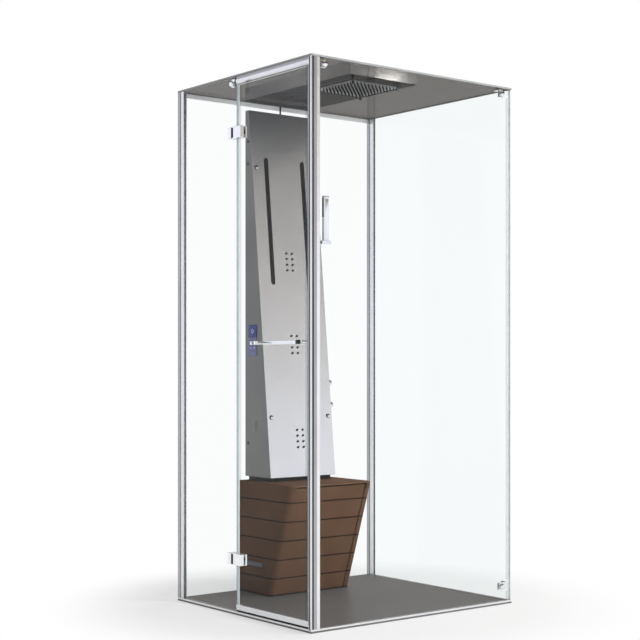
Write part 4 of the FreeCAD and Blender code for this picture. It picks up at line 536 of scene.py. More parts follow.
# Moulded in a polished tool: white with a hard gloss
WHITE_ABS = Moulded("gloss_white_abs", "white_plastic", "#e6e6ee", "#dcdce6", rough=0.16,
                    mark_mm=0.9, mark_depth_mm=0.0009, coat=0.4)
# Moulded in an etched tool: black with a coarse matt grain
BLACK_PLASTIC = Moulded("textured_black_polypropylene", "black_plastic", "#161616", "#1f1f1f",
                        rough=0.6, mark_mm=0.9, mark_depth_mm=0.012)
# Moulded in an etched tool: mid grey with a fine grain
GREY_PLASTIC = Moulded("textured_grey_abs", "grey_plastic", "#6b6b6d", "#606062", rough=0.42,
                       mark_mm=0.9, mark_depth_mm=0.0075)
# The same plastic in a darker, bluer grey
OUTLET_PLASTIC = replace(GREY_PLASTIC, name="slate_grey_abs", colour="#55525c", drift="#4c4a53")
# Wood-plastic composite boards: matt brown with faint drawn fibres, crevices darkened by painted
# shade, and dark joints that are partly painted shade
COMPOSITE = Finish("brown_wood_composite", "brown_composite", "#725441", "#644937", rough=0.66,
                   rough_spread=0.08, mark_mm=2.2, mark_depth_mm=0.004, patch_mm=90,
                   crevice_mm=14.0, joint_mm=84.0, joint_at_mm=92.0, specular=0.06,
                   grain=Grain.ALONG_X)
# Cast stone and resin: matt grey with pale and dark grit
TRAY_STONE = MineralStone("grey_mineral_composite", "tray_stone", "#6e6c6c", "#666464", rough=0.42,
                          rough_spread=0.06, mark_mm=1.6, mark_depth_mm=0.0045, patch_mm=260)


@dataclass
class Surface:
    """Points in millimetres and the faces between them."""

    points: np.ndarray
    faces: list[tuple[int, ...]]

    @staticmethod
    def joined(parts: Iterable["Surface"]) -> "Surface":
        """Several surfaces as one, each with its point numbers moved up past those before it.

        Args:
            parts: The surfaces.

        Returns:
            One surface.
        """
        points, faces, first = [], [], 0
        for part in parts:
            points.append(part.points)
            faces.extend(tuple(first + i for i in face) for face in part.faces)
            first += len(part.points)
        return Surface(np.concatenate(points), faces)


def skin_over(rings: np.ndarray) -> Surface:
    """A closed skin over rings of points.

    Point j of ring i joins point j of ring i + 1, and one flat face closes each end.

    Args:
        rings: Rings by points by 3, each ring anticlockwise seen from the last ring's side.

    Returns:
        The surface, facing outwards.
    """
    count, around = rings.shape[:2]
    here = np.arange((count - 1) * around).reshape(count - 1, around)
    beside = np.roll(here, -1, axis=1)
    quads = np.stack((here, beside, beside + around, here + around), axis=-1).reshape(-1, 4)
    last = (count - 1) * around
    ends = [tuple(range(around - 1, -1, -1)), tuple(range(last, last + around))]
    return Surface(rings.reshape(-1, 3), [*map(tuple, quads.tolist()), *ends])


def cross_axes(direction: Sequence[float]) -> np.ndarray:
    """Two directions square to a direction and the direction itself.

    Args:
        direction: Any direction, of any length.

    Returns:
        Three rows of length 1, right-handed, the direction last.
    """
    along = np.array(direction, float)
    along /= np.linalg.norm(along)
    first = np.cross(UP if abs(along[2]) < FACING else BACK, along)
    first /= np.linalg.norm(first)
    return np.stack((first, np.cross(along, first), along))


def turned(profile: Profile, start: Sequence[float], direction: Sequence[float],
           count: int = 40, ribs: int = 0, rib_mm: float = 0.0) -> Surface:
    """A turned piece: a profile carried round an axis.

    Point (t, a) is start + height(t) along the axis + radius(t) towards angle a. With ribs, the
    radius gets a cosine of the angle, as many times round as there are ribs.

    Args:
        profile: Radius and height of each ring, from the foot to the tip.
        start: Where the axis starts.
        direction: Where the axis points.
        count: Points round a ring.
        ribs: Number of grip ribs.
        rib_mm: Depth of a rib.

    Returns:
        The closed surface.
    """
    first, second, along = cross_axes(direction)
    radius, height = np.array(profile, float).T
    angle = np.linspace(0, 2 * np.pi, count, endpoint=False)
    waves = 1 - rib_mm / max(radius.max(), MM) * (0.5 - 0.5 * np.cos(angle * ribs))
    reach = radius[:, None] * (waves if ribs else np.ones(count))
    spokes = np.cos(angle)[:, None] * first + np.sin(angle)[:, None] * second
    return skin_over(np.array(start, float) + height[:, None, None] * along
                     + reach[..., None] * spokes)


def dome(radius: float, foot: float, rise: float, count: int = 8) -> list[Pair]:
    """A profile's crown: radius * cos a wide at foot + rise * sin a, for a from 0 to 1.5."""
    return [(radius * math.cos(a), foot + rise * math.sin(a)) for a in np.linspace(0, 1.5, count)]


def rounded_bar(low: Sequence[float], high: Sequence[float], axis: int, corner: float,
                edge: float, steps: int = 5) -> Surface:
    """A bar with rounded corners and rounded ends.

    A rounded rectangle, its corners quarter circles of radius `corner`, is carried along an axis.
    At each end it shrinks by edge * (1 - cos a) over the last edge * (1 - sin a) of the length.

    Args:
        low: Lowest corner.
        high: Highest corner.
        axis: 0, 1 or 2, the axis that the section is carried along.
        corner: Radius of the section's corners.
        edge: Radius of the rounding at both ends.
        steps: Points in each quarter circle.

    Returns:
        The closed surface.
    """
    low, high = np.array(low, float), np.array(high, float)
    u, v = (axis + 1) % 3, (axis + 2) % 3
    middle, half = (low + high) / 2, (high - low) / 2
    turn = np.linspace(0, np.pi / 2, steps)
    shrink = edge * (1 - np.cos(turn))
    insets = np.concatenate((shrink[::-1], shrink))
    rise = edge * np.sin(turn)
    heights = np.concatenate((low[axis] + edge - rise[::-1], high[axis] - edge + rise))
    angle = (np.arange(4)[:, None] * np.pi / 2 + turn).ravel()
    signs = np.repeat(np.array(((1, 1), (-1, 1), (-1, -1), (1, -1))), steps, axis=0)
    rings = np.empty((len(insets), len(angle), 3))
    rings[..., axis] = heights[:, None]
    arc = np.maximum(corner - insets, 0.02)[:, None]
    for place, column, wave in ((u, 0, np.cos(angle)), (v, 1, np.sin(angle))):
        reach = half[place] - insets[:, None]
        rings[..., place] = middle[place] + signs[:, column] * (reach - arc) + arc * wave
    return skin_over(rings)


def body_of(node: str) -> str:
    """The body that a node of the model rides on."""
    return frame["nodes"][node]["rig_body"]


def smooth(mesh: bpy.types.Mesh) -> None:
    """Shade a mesh smooth, apart from its edges sharper than 30 degrees."""
    mesh.polygons.foreach_set("use_smooth", np.ones(len(mesh.polygons), bool))
    mesh.set_sharp_from_angle(angle=SHARP)


def finish_piece(piece: bpy.types.Object, finish: Finish, nodes: Sequence[str], body: str) -> None:
    """Give a new piece its finish, its body and the nodes that it stands for.

    Args:
        piece: The piece.
        finish: Its finish.
        nodes: Nodes of the model that it stands for.
        body: The body it rides on.
    """
    piece.data.materials.append(finish.material())
    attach(piece, body)
    if nodes:
        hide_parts(*nodes)
    LOG.info("%s: %d faces, %s", piece.name, len(piece.data.polygons), finish.name)


def fit(name: str, parts: Iterable[Surface], finish: Finish, nodes: Sequence[str] = (),
        body: str = "cabin") -> None:
    """Make a piece from surfaces.

    Args:
        name: The piece's name.
        parts: Its surfaces, in millimetres.
        finish: Its finish.
        nodes: Nodes of the model that it stands for.
        body: The body it rides on, where it stands for no node.
    """
    surface = Surface.joined(parts)
    mesh = bpy.data.meshes.new(name)
    mesh.from_pydata((surface.points * MM).tolist(), [], surface.faces)
    smooth(mesh)
    finish_piece(stand(name, mesh), finish, nodes, body_of(nodes[0]) if nodes else body)


def dress(node: str, finish: Finish) -> None:
    """Give a node of the model its finish and leave its shape.

    Args:
        node: The node of the model.
        finish: Its finish.
    """
    mesh = frame["nodes"][node].data
    mesh.materials.clear()
    mesh.materials.append(finish.material())
    LOG.info("%s: as modelled, %s", node, finish.name)


def soften(node: str, finish: Finish, width: float = 0.6, least: float = 12.0,
           cut_x: float | None = None) -> bpy.types.Object:
    """Stand a copy of a node in its place, with its long sharp edges rounded.

    The copy's corners that share a place are made one, flat neighbours are joined, and each edge
    that is sharper than 30 degrees and longer than `least` gets a bevel.

    Args:
        node: The node of the model.
        finish: The copy's finish.
        width: Width of the bevel in millimetres.
        least: Shortest edge that is rounded, in millimetres.
        cut_x: Where its faces are divided, in millimetres, for a finish that ends there.

    Returns:
        The new object.
    """
    source = frame["nodes"][node].data
    places = np.empty(len(source.vertices) * 3)
    source.vertices.foreach_get("co", places)
    corners = np.empty(len(source.loops), int)
    source.loops.foreach_get("vertex_index", corners)
    keys, number = np.unique(np.round(places.reshape(-1, 3) / MERGE).astype(int), axis=0,
                             return_inverse=True)
    triangles = number.ravel()[corners].reshape(-1, 3)
    whole = (triangles != np.roll(triangles, 1, axis=1)).all(axis=1)
    mesh = bpy.data.meshes.new(f"{node}_finished")
    mesh.from_pydata((keys * MERGE).tolist(), [], triangles[whole].tolist())

    work = bmesh.new()
    work.from_mesh(mesh)
    bmesh.ops.dissolve_limit(work, angle_limit=FLAT, verts=work.verts, edges=work.edges)
    if cut_x is not None:
        bmesh.ops.bisect_plane(work, geom=[*work.verts, *work.edges, *work.faces],
                               plane_co=(cut_x * MM, 0, 0), plane_no=RIGHT)
    weight = work.edges.layers.float.new("bevel_weight_edge")
    for edge in work.edges:
        if len(edge.link_faces) == 2 and edge.calc_length() > least * MM:
            edge[weight] = float(edge.calc_face_angle(0.0) > SHARP)
    work.to_mesh(mesh)
    work.free()
    smooth(mesh)

    piece = stand(mesh.name, mesh)
    bevel = piece.modifiers.new("rounded_edges", "BEVEL")
    bevel.width = width * MM
    bevel.segments = 2
    bevel.limit_method = "WEIGHT"
    bevel.use_clamp_overlap = False
    bevel.harden_normals = True
    finish_piece(piece, finish, [node], body_of(node))
    return piece


def face_finish(piece: bpy.types.Object, finish: Finish, chooser: Chooser) -> None:
    """Give some faces of a piece another finish.

    Args:
        piece: The piece.
        finish: The finish of the chosen faces.
        chooser: Turns the faces' normals and their middles, in millimetres, to True or False.
    """
    data = piece.data
    data.materials.append(finish.material())
    normals, middles = np.empty(len(data.polygons) * 3), np.empty(len(data.polygons) * 3)
    data.polygons.foreach_get("normal", normals)
    data.polygons.foreach_get("center", middles)
    slots = np.empty(len(data.polygons), np.int32)
    data.polygons.foreach_get("material_index", slots)
    chosen = chooser(normals.reshape(-1, 3), middles.reshape(-1, 3) / MM)
    slots[chosen] = len(data.materials) - 1
    data.polygons.foreach_set("material_index", slots)


def edges_of_pane(axis: int) -> Chooser:
    """The faces of a pane that don't look along an axis."""
    return lambda normals, middles: np.abs(normals[:, axis]) < FACING


def faces_front(normals: np.ndarray) -> np.ndarray:
    """The faces that look forward."""
    return normals[:, 1] < -FACING


@dataclass
class Enclosure:
    """Tray, rails, post, profiles, fixed panes and the connectors between them."""

    half_width: float = 542.0
    pane_out: float = 538.0
    front_pane_out: float = -466.0
    roof_top: float = 2200.0
    cap_r: float = 12.5
    cap_rise: float = 7.0
    bolt_r: float = 5.0
    bolt_length: float = 14.0
    front_caps: tuple[Pair, ...] = ((-474, 2170), (489, 2170), (486, 76))
    left_cap: Pair = (69, 2170)
    right_cap: Pair = (-437, 76)
    roof_caps: tuple[Pair, ...] = ((-474, -437), (489, -437), (-509, 69))
    post_band: float = -515.0
    post_bead: float = -529.5
    groove_x: float = -529.0
    groove_y: Pair = (-468.0, -453.5)

    def in_band(self, normals: np.ndarray, middles: np.ndarray) -> np.ndarray:
        """The satin band down the corner post's front."""
        # The band is greyer: partly a satin finish, partly painted shade
        across = middles[:, 0]
        return faces_front(normals) & (across < self.post_band) & (across > self.post_bead)

    def in_groove(self, normals: np.ndarray, middles: np.ndarray) -> np.ndarray:
        """The floors of the corner post's grooves, in front and at the side.

        Args:
            normals: The faces' normals.
            middles: The faces' middles, in millimetres.

        Returns:
            True for each face in a groove.
        """
        front = faces_front(normals) & (middles[:, 1] > self.groove_y[0])
        floors = front | self.in_step(normals, middles)
        return floors & (middles[:, 1] < self.groove_y[1]) & (middles[:, 0] < self.groove_x)

    def in_step(self, normals: np.ndarray, middles: np.ndarray) -> np.ndarray:
        """The faces that look left, set back from the cabin's left side."""
        return (normals[:, 0] < -FACING) & (middles[:, 0] > -self.half_width + 1)

    def button(self, at: Point, direction: Point, rise: float) -> Surface:
        """A domed round button with its bolt behind it.

        The profile is the bolt, a flat back, a short upright rim and a crown whose height is
        rise * (0.25 + 0.75 * cos of the way out).

        Args:
            at: The middle of its back.
            direction: Where its crown points.
            rise: Height of the crown.

        Returns:
            The button.
        """
        out = np.linspace(math.pi / 2, 0.1, 9)
        crown = [(self.cap_r * math.sin(a), rise * (0.25 + 0.75 * math.cos(a))) for a in out]
        profile = [(self.bolt_r, -self.bolt_length), (self.bolt_r, 0.0), (self.cap_r - 0.6, 0.0),
                   (self.cap_r, 0.6), *crown]
        return turned(profile, at, direction, 36)

    def buttons(self) -> list[Surface]:
        """The panes' connectors: tall buttons in front and at the left, flat ones elsewhere.

        Returns:
            The buttons.
        """
        tall = self.cap_rise
        return [*(self.button((x, self.front_pane_out, z), FORWARD, tall)
                  for x, z in self.front_caps),
                self.button((-self.pane_out, *self.left_cap), LEFT, tall),
                self.button((self.pane_out, *self.right_cap), RIGHT, 4.0),
                *(self.button((x, y, self.roof_top), UP, 2.0) for x, y in self.roof_caps)]

    def build(self) -> None:
        """Make and dress the pieces."""
        soften("shower_tray", TRAY_STONE, 1.2)
        dress("waste_body", STAINLESS)
        soften("drain_cover", STAINLESS, 0.4, least=4)
        dress("base_rails", ALUMINIUM_X)
        # The post's front band is greyer: partly satin, partly painted shade
        post = soften("corner_post", ALUMINIUM, 0.5, cut_x=self.post_band)
        face_finish(post, SATIN_AND_SHADE, self.in_band)
        face_finish(post, SEAM, self.in_groove)
        dress("strike_magnet", MAGNET)
        soften("wall_channels", SATIN_AND_SHADE, 0.4)
        soften("infill_profiles", ALUMINIUM)
        # The header's step is greyer: partly satin, partly painted shade
        face_finish(soften("header_rail", ALUMINIUM_Y, 0.8), SATIN_AND_SHADE, self.in_step)
        soften("rear_head_rail", PALE_RAIL, 0.8)
        for node, axis in (("front_glass", 1), ("right_glass", 0), ("side_glass", 0)):
            face_finish(soften(node, CLEAR_GLASS), GLASS_EDGE, edges_of_pane(axis))
        face_finish(soften("roof_glass", GREY_GLASS), GREY_EDGE, edges_of_pane(2))
        dress("corner_seals", SILICONE_BEAD)
        soften("roof_brackets", CHROME, 0.8, least=5)
        soften("corner_bracket", CHROME, 0.8, least=5)
        fit("glass_connector_buttons", self.buttons(), CHROME, ["connector_caps"])


@dataclass
class Door:
    """Door glass with its rail, seals, hinges and handle."""

    pane_out: float = 538.0
    pane_in: float = 530.0
    handle_z: float = 1107.0
    handle_x: Pair = (-504.0, -489.0)
    handle_y: Pair = (-398.0, -14.0)
    handle_feet: Pair = (-390.0, -100.0)
    bar_half: float = 7.5
    knob_half: float = 8.0
    knob_rise: float = 14.0
    hinge_z: Pair = (228.0, 1963.0)
    screw_spread: float = 24.0
    frame_screw_y: float = 61.0
    door_screw_y: float = 0.0
    plate_x: float = -522.0

    def hinge_screws(self, y: float) -> list[Surface]:
        """Countersunk socket screws in the inner plates: low crowns, hollow in the middle.

        Args:
            y: The screws' place along the wall's normal.

        Returns:
            The screws' heads.
        """
        profile = [(3.4, 0.02), (4.6, 0.1), (4.2, 0.5), (2.2, 0.6), (1.9, 0.2), (0.3, 0.15)]
        return [turned(profile, (self.plate_x, y, z + step * self.screw_spread / 2), RIGHT, 24)
                for z in self.hinge_z for step in (-1, 1)]

    def handle(self) -> list[Surface]:
        """The square bar and its two round feet, which widen to a small collar at the glass.

        Returns:
            The bar and the feet.
        """
        low = (self.handle_x[0], self.handle_y[0], self.handle_z - self.bar_half)
        high = (self.handle_x[1], self.handle_y[1], self.handle_z + self.bar_half)
        reach = self.handle_x[0] + self.pane_in
        foot = [(6.0, 0.0), (7.2, 0.3), (7.2, 1.6), (6.0, 2.2), (6.0, reach + 1)]
        feet = [turned(foot, (-self.pane_in, y, self.handle_z), RIGHT, 32)
                for y in self.handle_feet]
        return [rounded_bar(low, high, 1, 1.2, 0.8), *feet]

    def knob(self) -> Surface:
        """The square knob outside, over the bar's lock-side foot.

        Returns:
            The knob.
        """
        y, z, half = self.handle_feet[0], self.handle_z, self.knob_half
        return rounded_bar((-self.pane_out - self.knob_rise, y - half, z - half),
                           (-self.pane_out, y + half, z + half), 0, 1.4, 1.0)

    def fixings(self) -> list[Surface]:
        """The round cap outside, and the two bolts through the glass.

        Returns:
            The bolts and the cap.
        """
        bolt = [(4.0, 0.0), (4.0, 19.0)]
        bolts = [turned(bolt, (-self.pane_out, y, self.handle_z), RIGHT, 24)
                 for y in self.handle_feet]
        cap = [(7.4, 0.0), (8.0, 0.5), (8.0, 2.6), (7.2, 3.5), (5.0, 3.9), (0.4, 4.0)]
        at = (-self.pane_out, self.handle_feet[1], self.handle_z)
        return [*bolts, turned(cap, at, LEFT, 32)]

    def build(self) -> None:
        """Make and dress the pieces."""
        face_finish(soften("door_glass", CLEAR_GLASS), GLASS_EDGE, edges_of_pane(0))
        soften("door_foot_rail", ALUMINIUM_Y)
        dress("door_wiper", RUBBER)
        dress("door_lock_seal", CLEAR_SEAL)
        dress("door_hinge_seal", CLEAR_SEAL)
        soften("hinge_frame_leaves", CHROME, 1.0, least=6)
        soften("hinge_door_leaves", CHROME, 1.0, least=6)
        # The barrels are black partly as painted shade of the dark gap between the hinge leaves
        soften("hinge_barrels", BLACK_METAL, 0.5)
        dress("hinge_pins", STAINLESS)
        fit("hinge_frame_screws", self.hinge_screws(self.frame_screw_y), CHROME)
        fit("hinge_door_screws", self.hinge_screws(self.door_screw_y), CHROME, body="door")
        fit("square_bar_handle", self.handle(), CHROME, ["door_handle"])
        fit("handle_outer_fixings", self.fixings(), CHROME, ["handle_fixings"])
        fit("handle_outer_knob", [self.knob()], BLACK_METAL, body="door")


@dataclass
class RainHead:
    """Steel box on the roof with the nozzle plate that hangs through it."""

    axis_x: float = -4.0
    plate_y: float = -92.0
    plate_foot: float = 2189.0
    pitch: float = 20.0
    rows: int = 12
    nozzle_length: float = 12.0
    stud_reach: float = 122.0

    def nozzles(self) -> list[Surface]:
        """Soft nozzles on a square grid, each a collar and a taper with a blunt tip.

        Returns:
            The nozzles.
        """
        profile = [(2.6, 0.0), (2.6, 2.0), (2.1, 3.0), (1.6, self.nozzle_length)]
        places = (np.arange(self.rows) - (self.rows - 1) / 2) * self.pitch
        return [turned(profile, (self.axis_x + x, self.plate_y + y, self.plate_foot), DOWN, 8)
                for x in places for y in places]

    def studs(self) -> list[Surface]:
        """The plate's four fixing studs with a domed cap nut on each.

        Returns:
            The studs.
        """
        profile = [(5.0, 0.0), (5.0, 5.0), (4.2, 5.6), (4.2, 6.4), (5.0, 7.0), (5.0, 15.0),
                   *dome(5, 15, 5, 6)]
        places = (-self.stud_reach, self.stud_reach)
        return [turned(profile, (self.axis_x + x, self.plate_y + y, self.plate_foot), DOWN, 24)
                for x in places for y in places]

    def build(self) -> None:
        """Make and dress the pieces."""
        soften("rain_box", RAIN_STEEL, 1.5)
        dress("rain_chamber", STAINLESS)
        # The plate's dark grey is a painted reflection of the dim inside
        soften("nozzle_plate", DIMMED_PLATE_STEEL, 0.8)
        dress("rain_feed_pipe", PLATED_TUBE)
        fit("rain_nozzle_field", self.nozzles(), SILICONE, ["rain_nozzles"])
        # The studs' dark grey is a painted reflection of the dim space round them
        fit("plate_stud_nuts", self.studs(), DIMMED_CHROME, ["plate_studs"])


@dataclass
class Column:
    """Leaning steel column with its lights, jets, fasteners, touch panel, valves and pipes."""

    axis_x: float = -4.0
    half_width: float = 181.5
    foot_z: float = 520.0
    top_z: float = 2155.0
    foot_y: float = 277.0
    top_y: float = 443.0
    light_offset: float = 101.5
    light_z: Pair = (1377.0, 1943.0)
    light_width: float = 14.0
    light_lip: float = 4.0
    light_shift: float = -2.5
    light_proud: float = 1.2
    core_depth: float = 5.0
    core_inset: float = 0.5
    jet_x: float = -9.5
    air_x: float = 32.0
    jet_pitch: Pair = (31.0, 25.5)
    jet_groups: tuple[float, ...] = (689.0, 1108.0, 1480.0)
    jet_rows: int = 4
    air_rise: float = 4.5
    nut_offset: float = 159.0
    nut_z: Pair = (786.0, 1898.0)
    screw_y: float = 449.0
    screw_z: tuple[float, ...] = (668.0, 1915.0, 2015.0)
    panel_y: Pair = (382.0, 443.0)
    panel_z: Pair = (1056.0, 1195.0)
    panel_thick: float = 2.5
    symbol_inset: Pair = (18.0, 22.0)
    symbol_pitch: Pair = (25.0, 24.0)
    knob_x: float = 178.0
    knobs: tuple[tuple[str, float], ...] = (("mixer", 934.0), ("diverter", 834.0))
    valve_behind: float = 22.0

    def face_y(self, z: float) -> float:
        """The Y of the column's front at a height: straight from its foot to its top."""
        share = (z - self.foot_z) / (self.top_z - self.foot_z)
        return self.foot_y + (self.top_y - self.foot_y) * share

    def outwards(self) -> np.ndarray:
        """The direction square to the column's front, away from the wall."""
        run, rise = self.top_y - self.foot_y, self.top_z - self.foot_z
        return np.array((0.0, -rise, run)) / math.hypot(run, rise)

    def on_face(self, profile: Profile, x: float, z: float, count: int) -> Surface:
        """A turned piece that leaves the column's front squarely."""
        return turned(profile, (x, self.face_y(z), z), self.outwards(), count)

    def lights(self) -> list[Surface]:
        """The two light strips: a flat lip laid along the slope, with a core behind it.

        Each is made at the origin, head down, since its length is reckoned down the slope, and is
        then carried over to the slope, where its thickness is square to the column's front.

        Returns:
            The strips.
        """
        out = self.outwards()
        down = np.cross(out, LEFT)
        half_length = (self.light_z[1] - self.light_z[0]) / down[2] / 2
        middle = sum(self.light_z) / 2
        half = self.light_width / 2 + self.light_lip
        reach = half_length + self.light_lip
        inner = self.light_width / 2 - self.core_inset
        lip = rounded_bar((-half, -self.light_proud, -reach), (half, 0.0, reach), 2, 1.0, 0.5)
        core = rounded_bar((-inner - self.light_shift, -0.1, 2 - half_length),
                           (inner - self.light_shift, self.core_depth, half_length - 2), 2, 1.5,
                           0.5)
        bar = Surface.joined((lip, core))
        turn = np.stack((RIGHT, -out, down))
        xs = (self.axis_x + self.light_shift + side * self.light_offset for side in (-1, 1))
        return [Surface(bar.points @ turn + (x, self.face_y(middle), middle), bar.faces)
                for x in xs]

    def rows(self) -> np.ndarray:
        """How high the rows of a group of jets lie over its middle."""
        return (np.arange(self.jet_rows) - (self.jet_rows - 1) / 2) * self.jet_pitch[1]

    def jets(self) -> list[Surface]:
        """Four rows of two jets in each group: oval soft nozzles whose long way leans a little.

        Each is a turned piece, widened to 1.4 across, lowered to 0.6 up the slope, and leant by
        0.4 of its distance sideways.

        Returns:
            The nozzles.
        """
        profile = [(3.5, -8.0), (5.2, -0.5), (5.5, 0.6), (5.0, 1.4), (3.4, 1.8), (2.6, 0.8),
                   (1.4, 0.6), (0.3, 0.6)]
        out = self.outwards()
        up = np.cross(LEFT, out)
        lean = (np.outer(out, out) + 1.4 * np.outer(RIGHT, RIGHT)
                + 0.6 * np.outer(up, up) + 0.4 * np.outer(RIGHT, up))
        nozzle = turned(profile, (0, 0, 0), out, 20)
        places = [(self.jet_x + side * self.jet_pitch[0] / 2, self.face_y(z + row), z + row)
                  for z in self.jet_groups for side in (-1, 1) for row in self.rows()]
        return [Surface(nozzle.points @ lean + place, nozzle.faces) for place in places]

    def air_jets(self) -> list[Surface]:
        """The column of small air nozzles beside each group.

        Returns:
            The nozzles.
        """
        profile = [(1.7, -4.0), (1.7, 0.3), (1.2, 0.7), (0.3, 0.7)]
        return [self.on_face(profile, self.air_x, z + row + self.air_rise, 12)
                for z in self.jet_groups for row in self.rows()]

    def fasteners(self, nut: Profile, screw: Profile) -> list[Surface]:
        """One turned part of every nut on the front and, if asked for, every screw at the sides.

        Args:
            nut: Radius and height of the part's rings at the nuts.
            screw: Radius and height of the screws' rings, or nothing.

        Returns:
            The parts.
        """
        parts = [self.on_face(nut, self.axis_x + side * self.nut_offset, z, 32)
                 for side in (-1, 1) for z in self.nut_z]
        for side in (-1, 1) if screw else ():
            x = self.axis_x + side * self.half_width
            parts += [turned(screw, (x, self.screw_y, z), (side, 0, 0), 24) for z in self.screw_z]
        return parts

    def nuts_and_screws(self) -> None:
        """Black collars under domed chrome caps on the front, and black screws in the sides."""
        collar = [(3.0, -12.0), (3.0, 0.0), (9.3, 0.0), (9.5, 0.3), (9.5, 1.6), (8.8, 3.2),
                  (0.3, 3.2)]
        screw = [(2.0, -9.0), (2.0, 0.0), (6.9, 0.0), (7.0, 0.1), (7.0, 1.0), *dome(4.8, 1.8, 1.0)]
        cap = [(6.9, 3.1), (7.0, 3.2), *dome(7.0, 4.4, 1.5)]
        fit("column_collars", self.fasteners(collar, screw), BLACK_METAL)
        fit("column_nut_caps", self.fasteners(cap, []), CHROME, ["column_fasteners"])

    def touch_panel(self) -> None:
        """The touch panel: a dark glass key over a paler glass field, with plain symbols."""
        x = self.axis_x - self.half_width
        front = x - self.panel_thick
        (near, far), (foot, top) = self.panel_y, self.panel_z
        split = top - (far - near) + 4
        key = rounded_bar((front, near, split + 1), (x, far, top), 0, 4.0, 0.6)
        fit("touch_panel_key", [key], TOUCH_GLASS, ["touch_panel"])
        pane = rounded_bar((front, near, foot), (x, far, split - 1), 0, 4.0, 0.6)
        fit("touch_panel_field", [pane], KEY_GLASS)
        centre = (front, (near + far) / 2, (split + top) / 2)
        first = (near + self.symbol_inset[0], split - self.symbol_inset[1])
        across, down = self.symbol_pitch
        marks = [turned([(13.0, 0.0), (13.0, 0.15)], centre, LEFT, 4)]
        marks += [turned([(5.2 - row, 0.0), (5.0 - row, 0.15)],
                         (front, first[0] + column * across, first[1] - row * down), LEFT, corners)
                  for row, corners in enumerate((4, 24, 3)) for column in range(2)]
        fit("touch_panel_symbols", marks, PRINT)
        hole = turned([(7.0, 0.14), (7.0, 0.25)], centre, LEFT, 4)
        fit("touch_panel_symbol_centre", [hole], TOUCH_GLASS)

    def knob(self, name: str, z: float) -> None:
        """A ribbed knob with a smooth crown and a pointer line.

        Args:
            name: What it turns.
            z: The height of its axis.
        """
        at = (self.knob_x, self.face_y(z) + self.valve_behind, z)
        profile = [(11.6, 0.0), (12.2, 0.4), (12.2, 1.6), (13.0, 2.2), (13.0, 17.0), (12.2, 18.4),
                   (11.2, 21.2), (9.8, 22.0), (0.4, 22.0)]
        fit(f"{name}_dial_knob", [turned(profile, at, RIGHT, 96, ribs=24, rib_mm=0.5)], CHROME,
            [f"{name}_knob"])
        line = rounded_bar((at[0] + 12, at[1] - 0.7, z + 8), (at[0] + 21.6, at[1] + 0.7, z + 12.6),
                           0, 0.5, 0.3)
        fit(f"{name}_dial_pointer", [line], BLACK_METAL, body=f"{name}_dial")

    def build(self) -> None:
        """Make and dress the pieces."""
        # The column's sides get a darker colour: painted shade
        face_finish(soften("column_shell", COLUMN_STEEL, 1.2), COLUMN_SHADED_RETURN,
                    lambda normals, middles: np.abs(normals[:, 0]) > FACING)
        dress("column_backplate", ZINC)
        dress("column_foot", BLACK_PLASTIC)
        fit("light_strips", self.lights(), LENS, ["light_bars"])
        fit("body_jet_nozzles", self.jets(), SILICONE, ["body_jets"])
        fit("air_jet_nozzles", self.air_jets(), GREY_PLASTIC)
        self.nuts_and_screws()
        self.touch_panel()
        soften("jet_manifolds", BRASS, 1.5)
        soften("mixer_valve", BRASS, 1.2)
        soften("diverter_valve", BRASS, 1.2)
        dress("water_inlets", BRASS)
        dress("supply_pipes", COPPER)
        for name, z in self.knobs:
            self.knob(name, z)


@dataclass
class HandShower:
    """Flat stick hand shower in the socket of its holder."""

    x: Pair = (192.0, 224.0)
    y: Pair = (380.0, 395.0)
    z: Pair = (1578.0, 1795.0)
    corner: float = 3.0
    cap_height: float = 10.0
    spray_z: Pair = (1697.0, 1786.0)
    spray_proud: float = 0.6
    inset_foot: float = 1690.0

    def spray(self) -> list[Surface]:
        """The soft strip down the left side, with two rows of nubs on it.

        Returns:
            The strip and its nubs.
        """
        (near, far), (low, high) = self.y, self.spray_z
        proud = self.x[0] - self.spray_proud
        strip = rounded_bar((proud, near + 2, low), (self.x[0] + 2, far - 2, high), 0, 2.0, 0.5)
        nub = [(1.3, 0.0), (1.0, 0.9), (0.3, 1.0)]
        return [strip, *(turned(nub, (proud, y, z), LEFT, 10)
                         for z in np.linspace(low + 6, high - 6, 12) for y in (near + 5, far - 5))]

    def build(self) -> None:
        """Make and dress the pieces."""
        (left, right), (near, far), (foot, top) = self.x, self.y, self.z
        split = top - self.cap_height
        stick = rounded_bar((left, near, foot), (right, far, split), 2, self.corner, 0.8)
        fit("handset_stick", [stick], WHITE_ABS, ["handset_body"])
        cap = rounded_bar((left, near, split + 0.4), (right, far, top), 2, self.corner, 1.6)
        fit("handset_cap", [cap], CHROME, body="hand_shower")
        inset = rounded_bar((left + 5, near - 0.4, self.inset_foot),
                            (right - 5, near + 1, split - 4), 1, 2.0, 0.3)
        fit("handset_inset", [inset], CHROME, body="hand_shower")
        fit("handset_spray_strip", self.spray(), SILICONE, ["handset_spray_face"])
        soften("handset_holder", CHROME, 1.0, least=6)


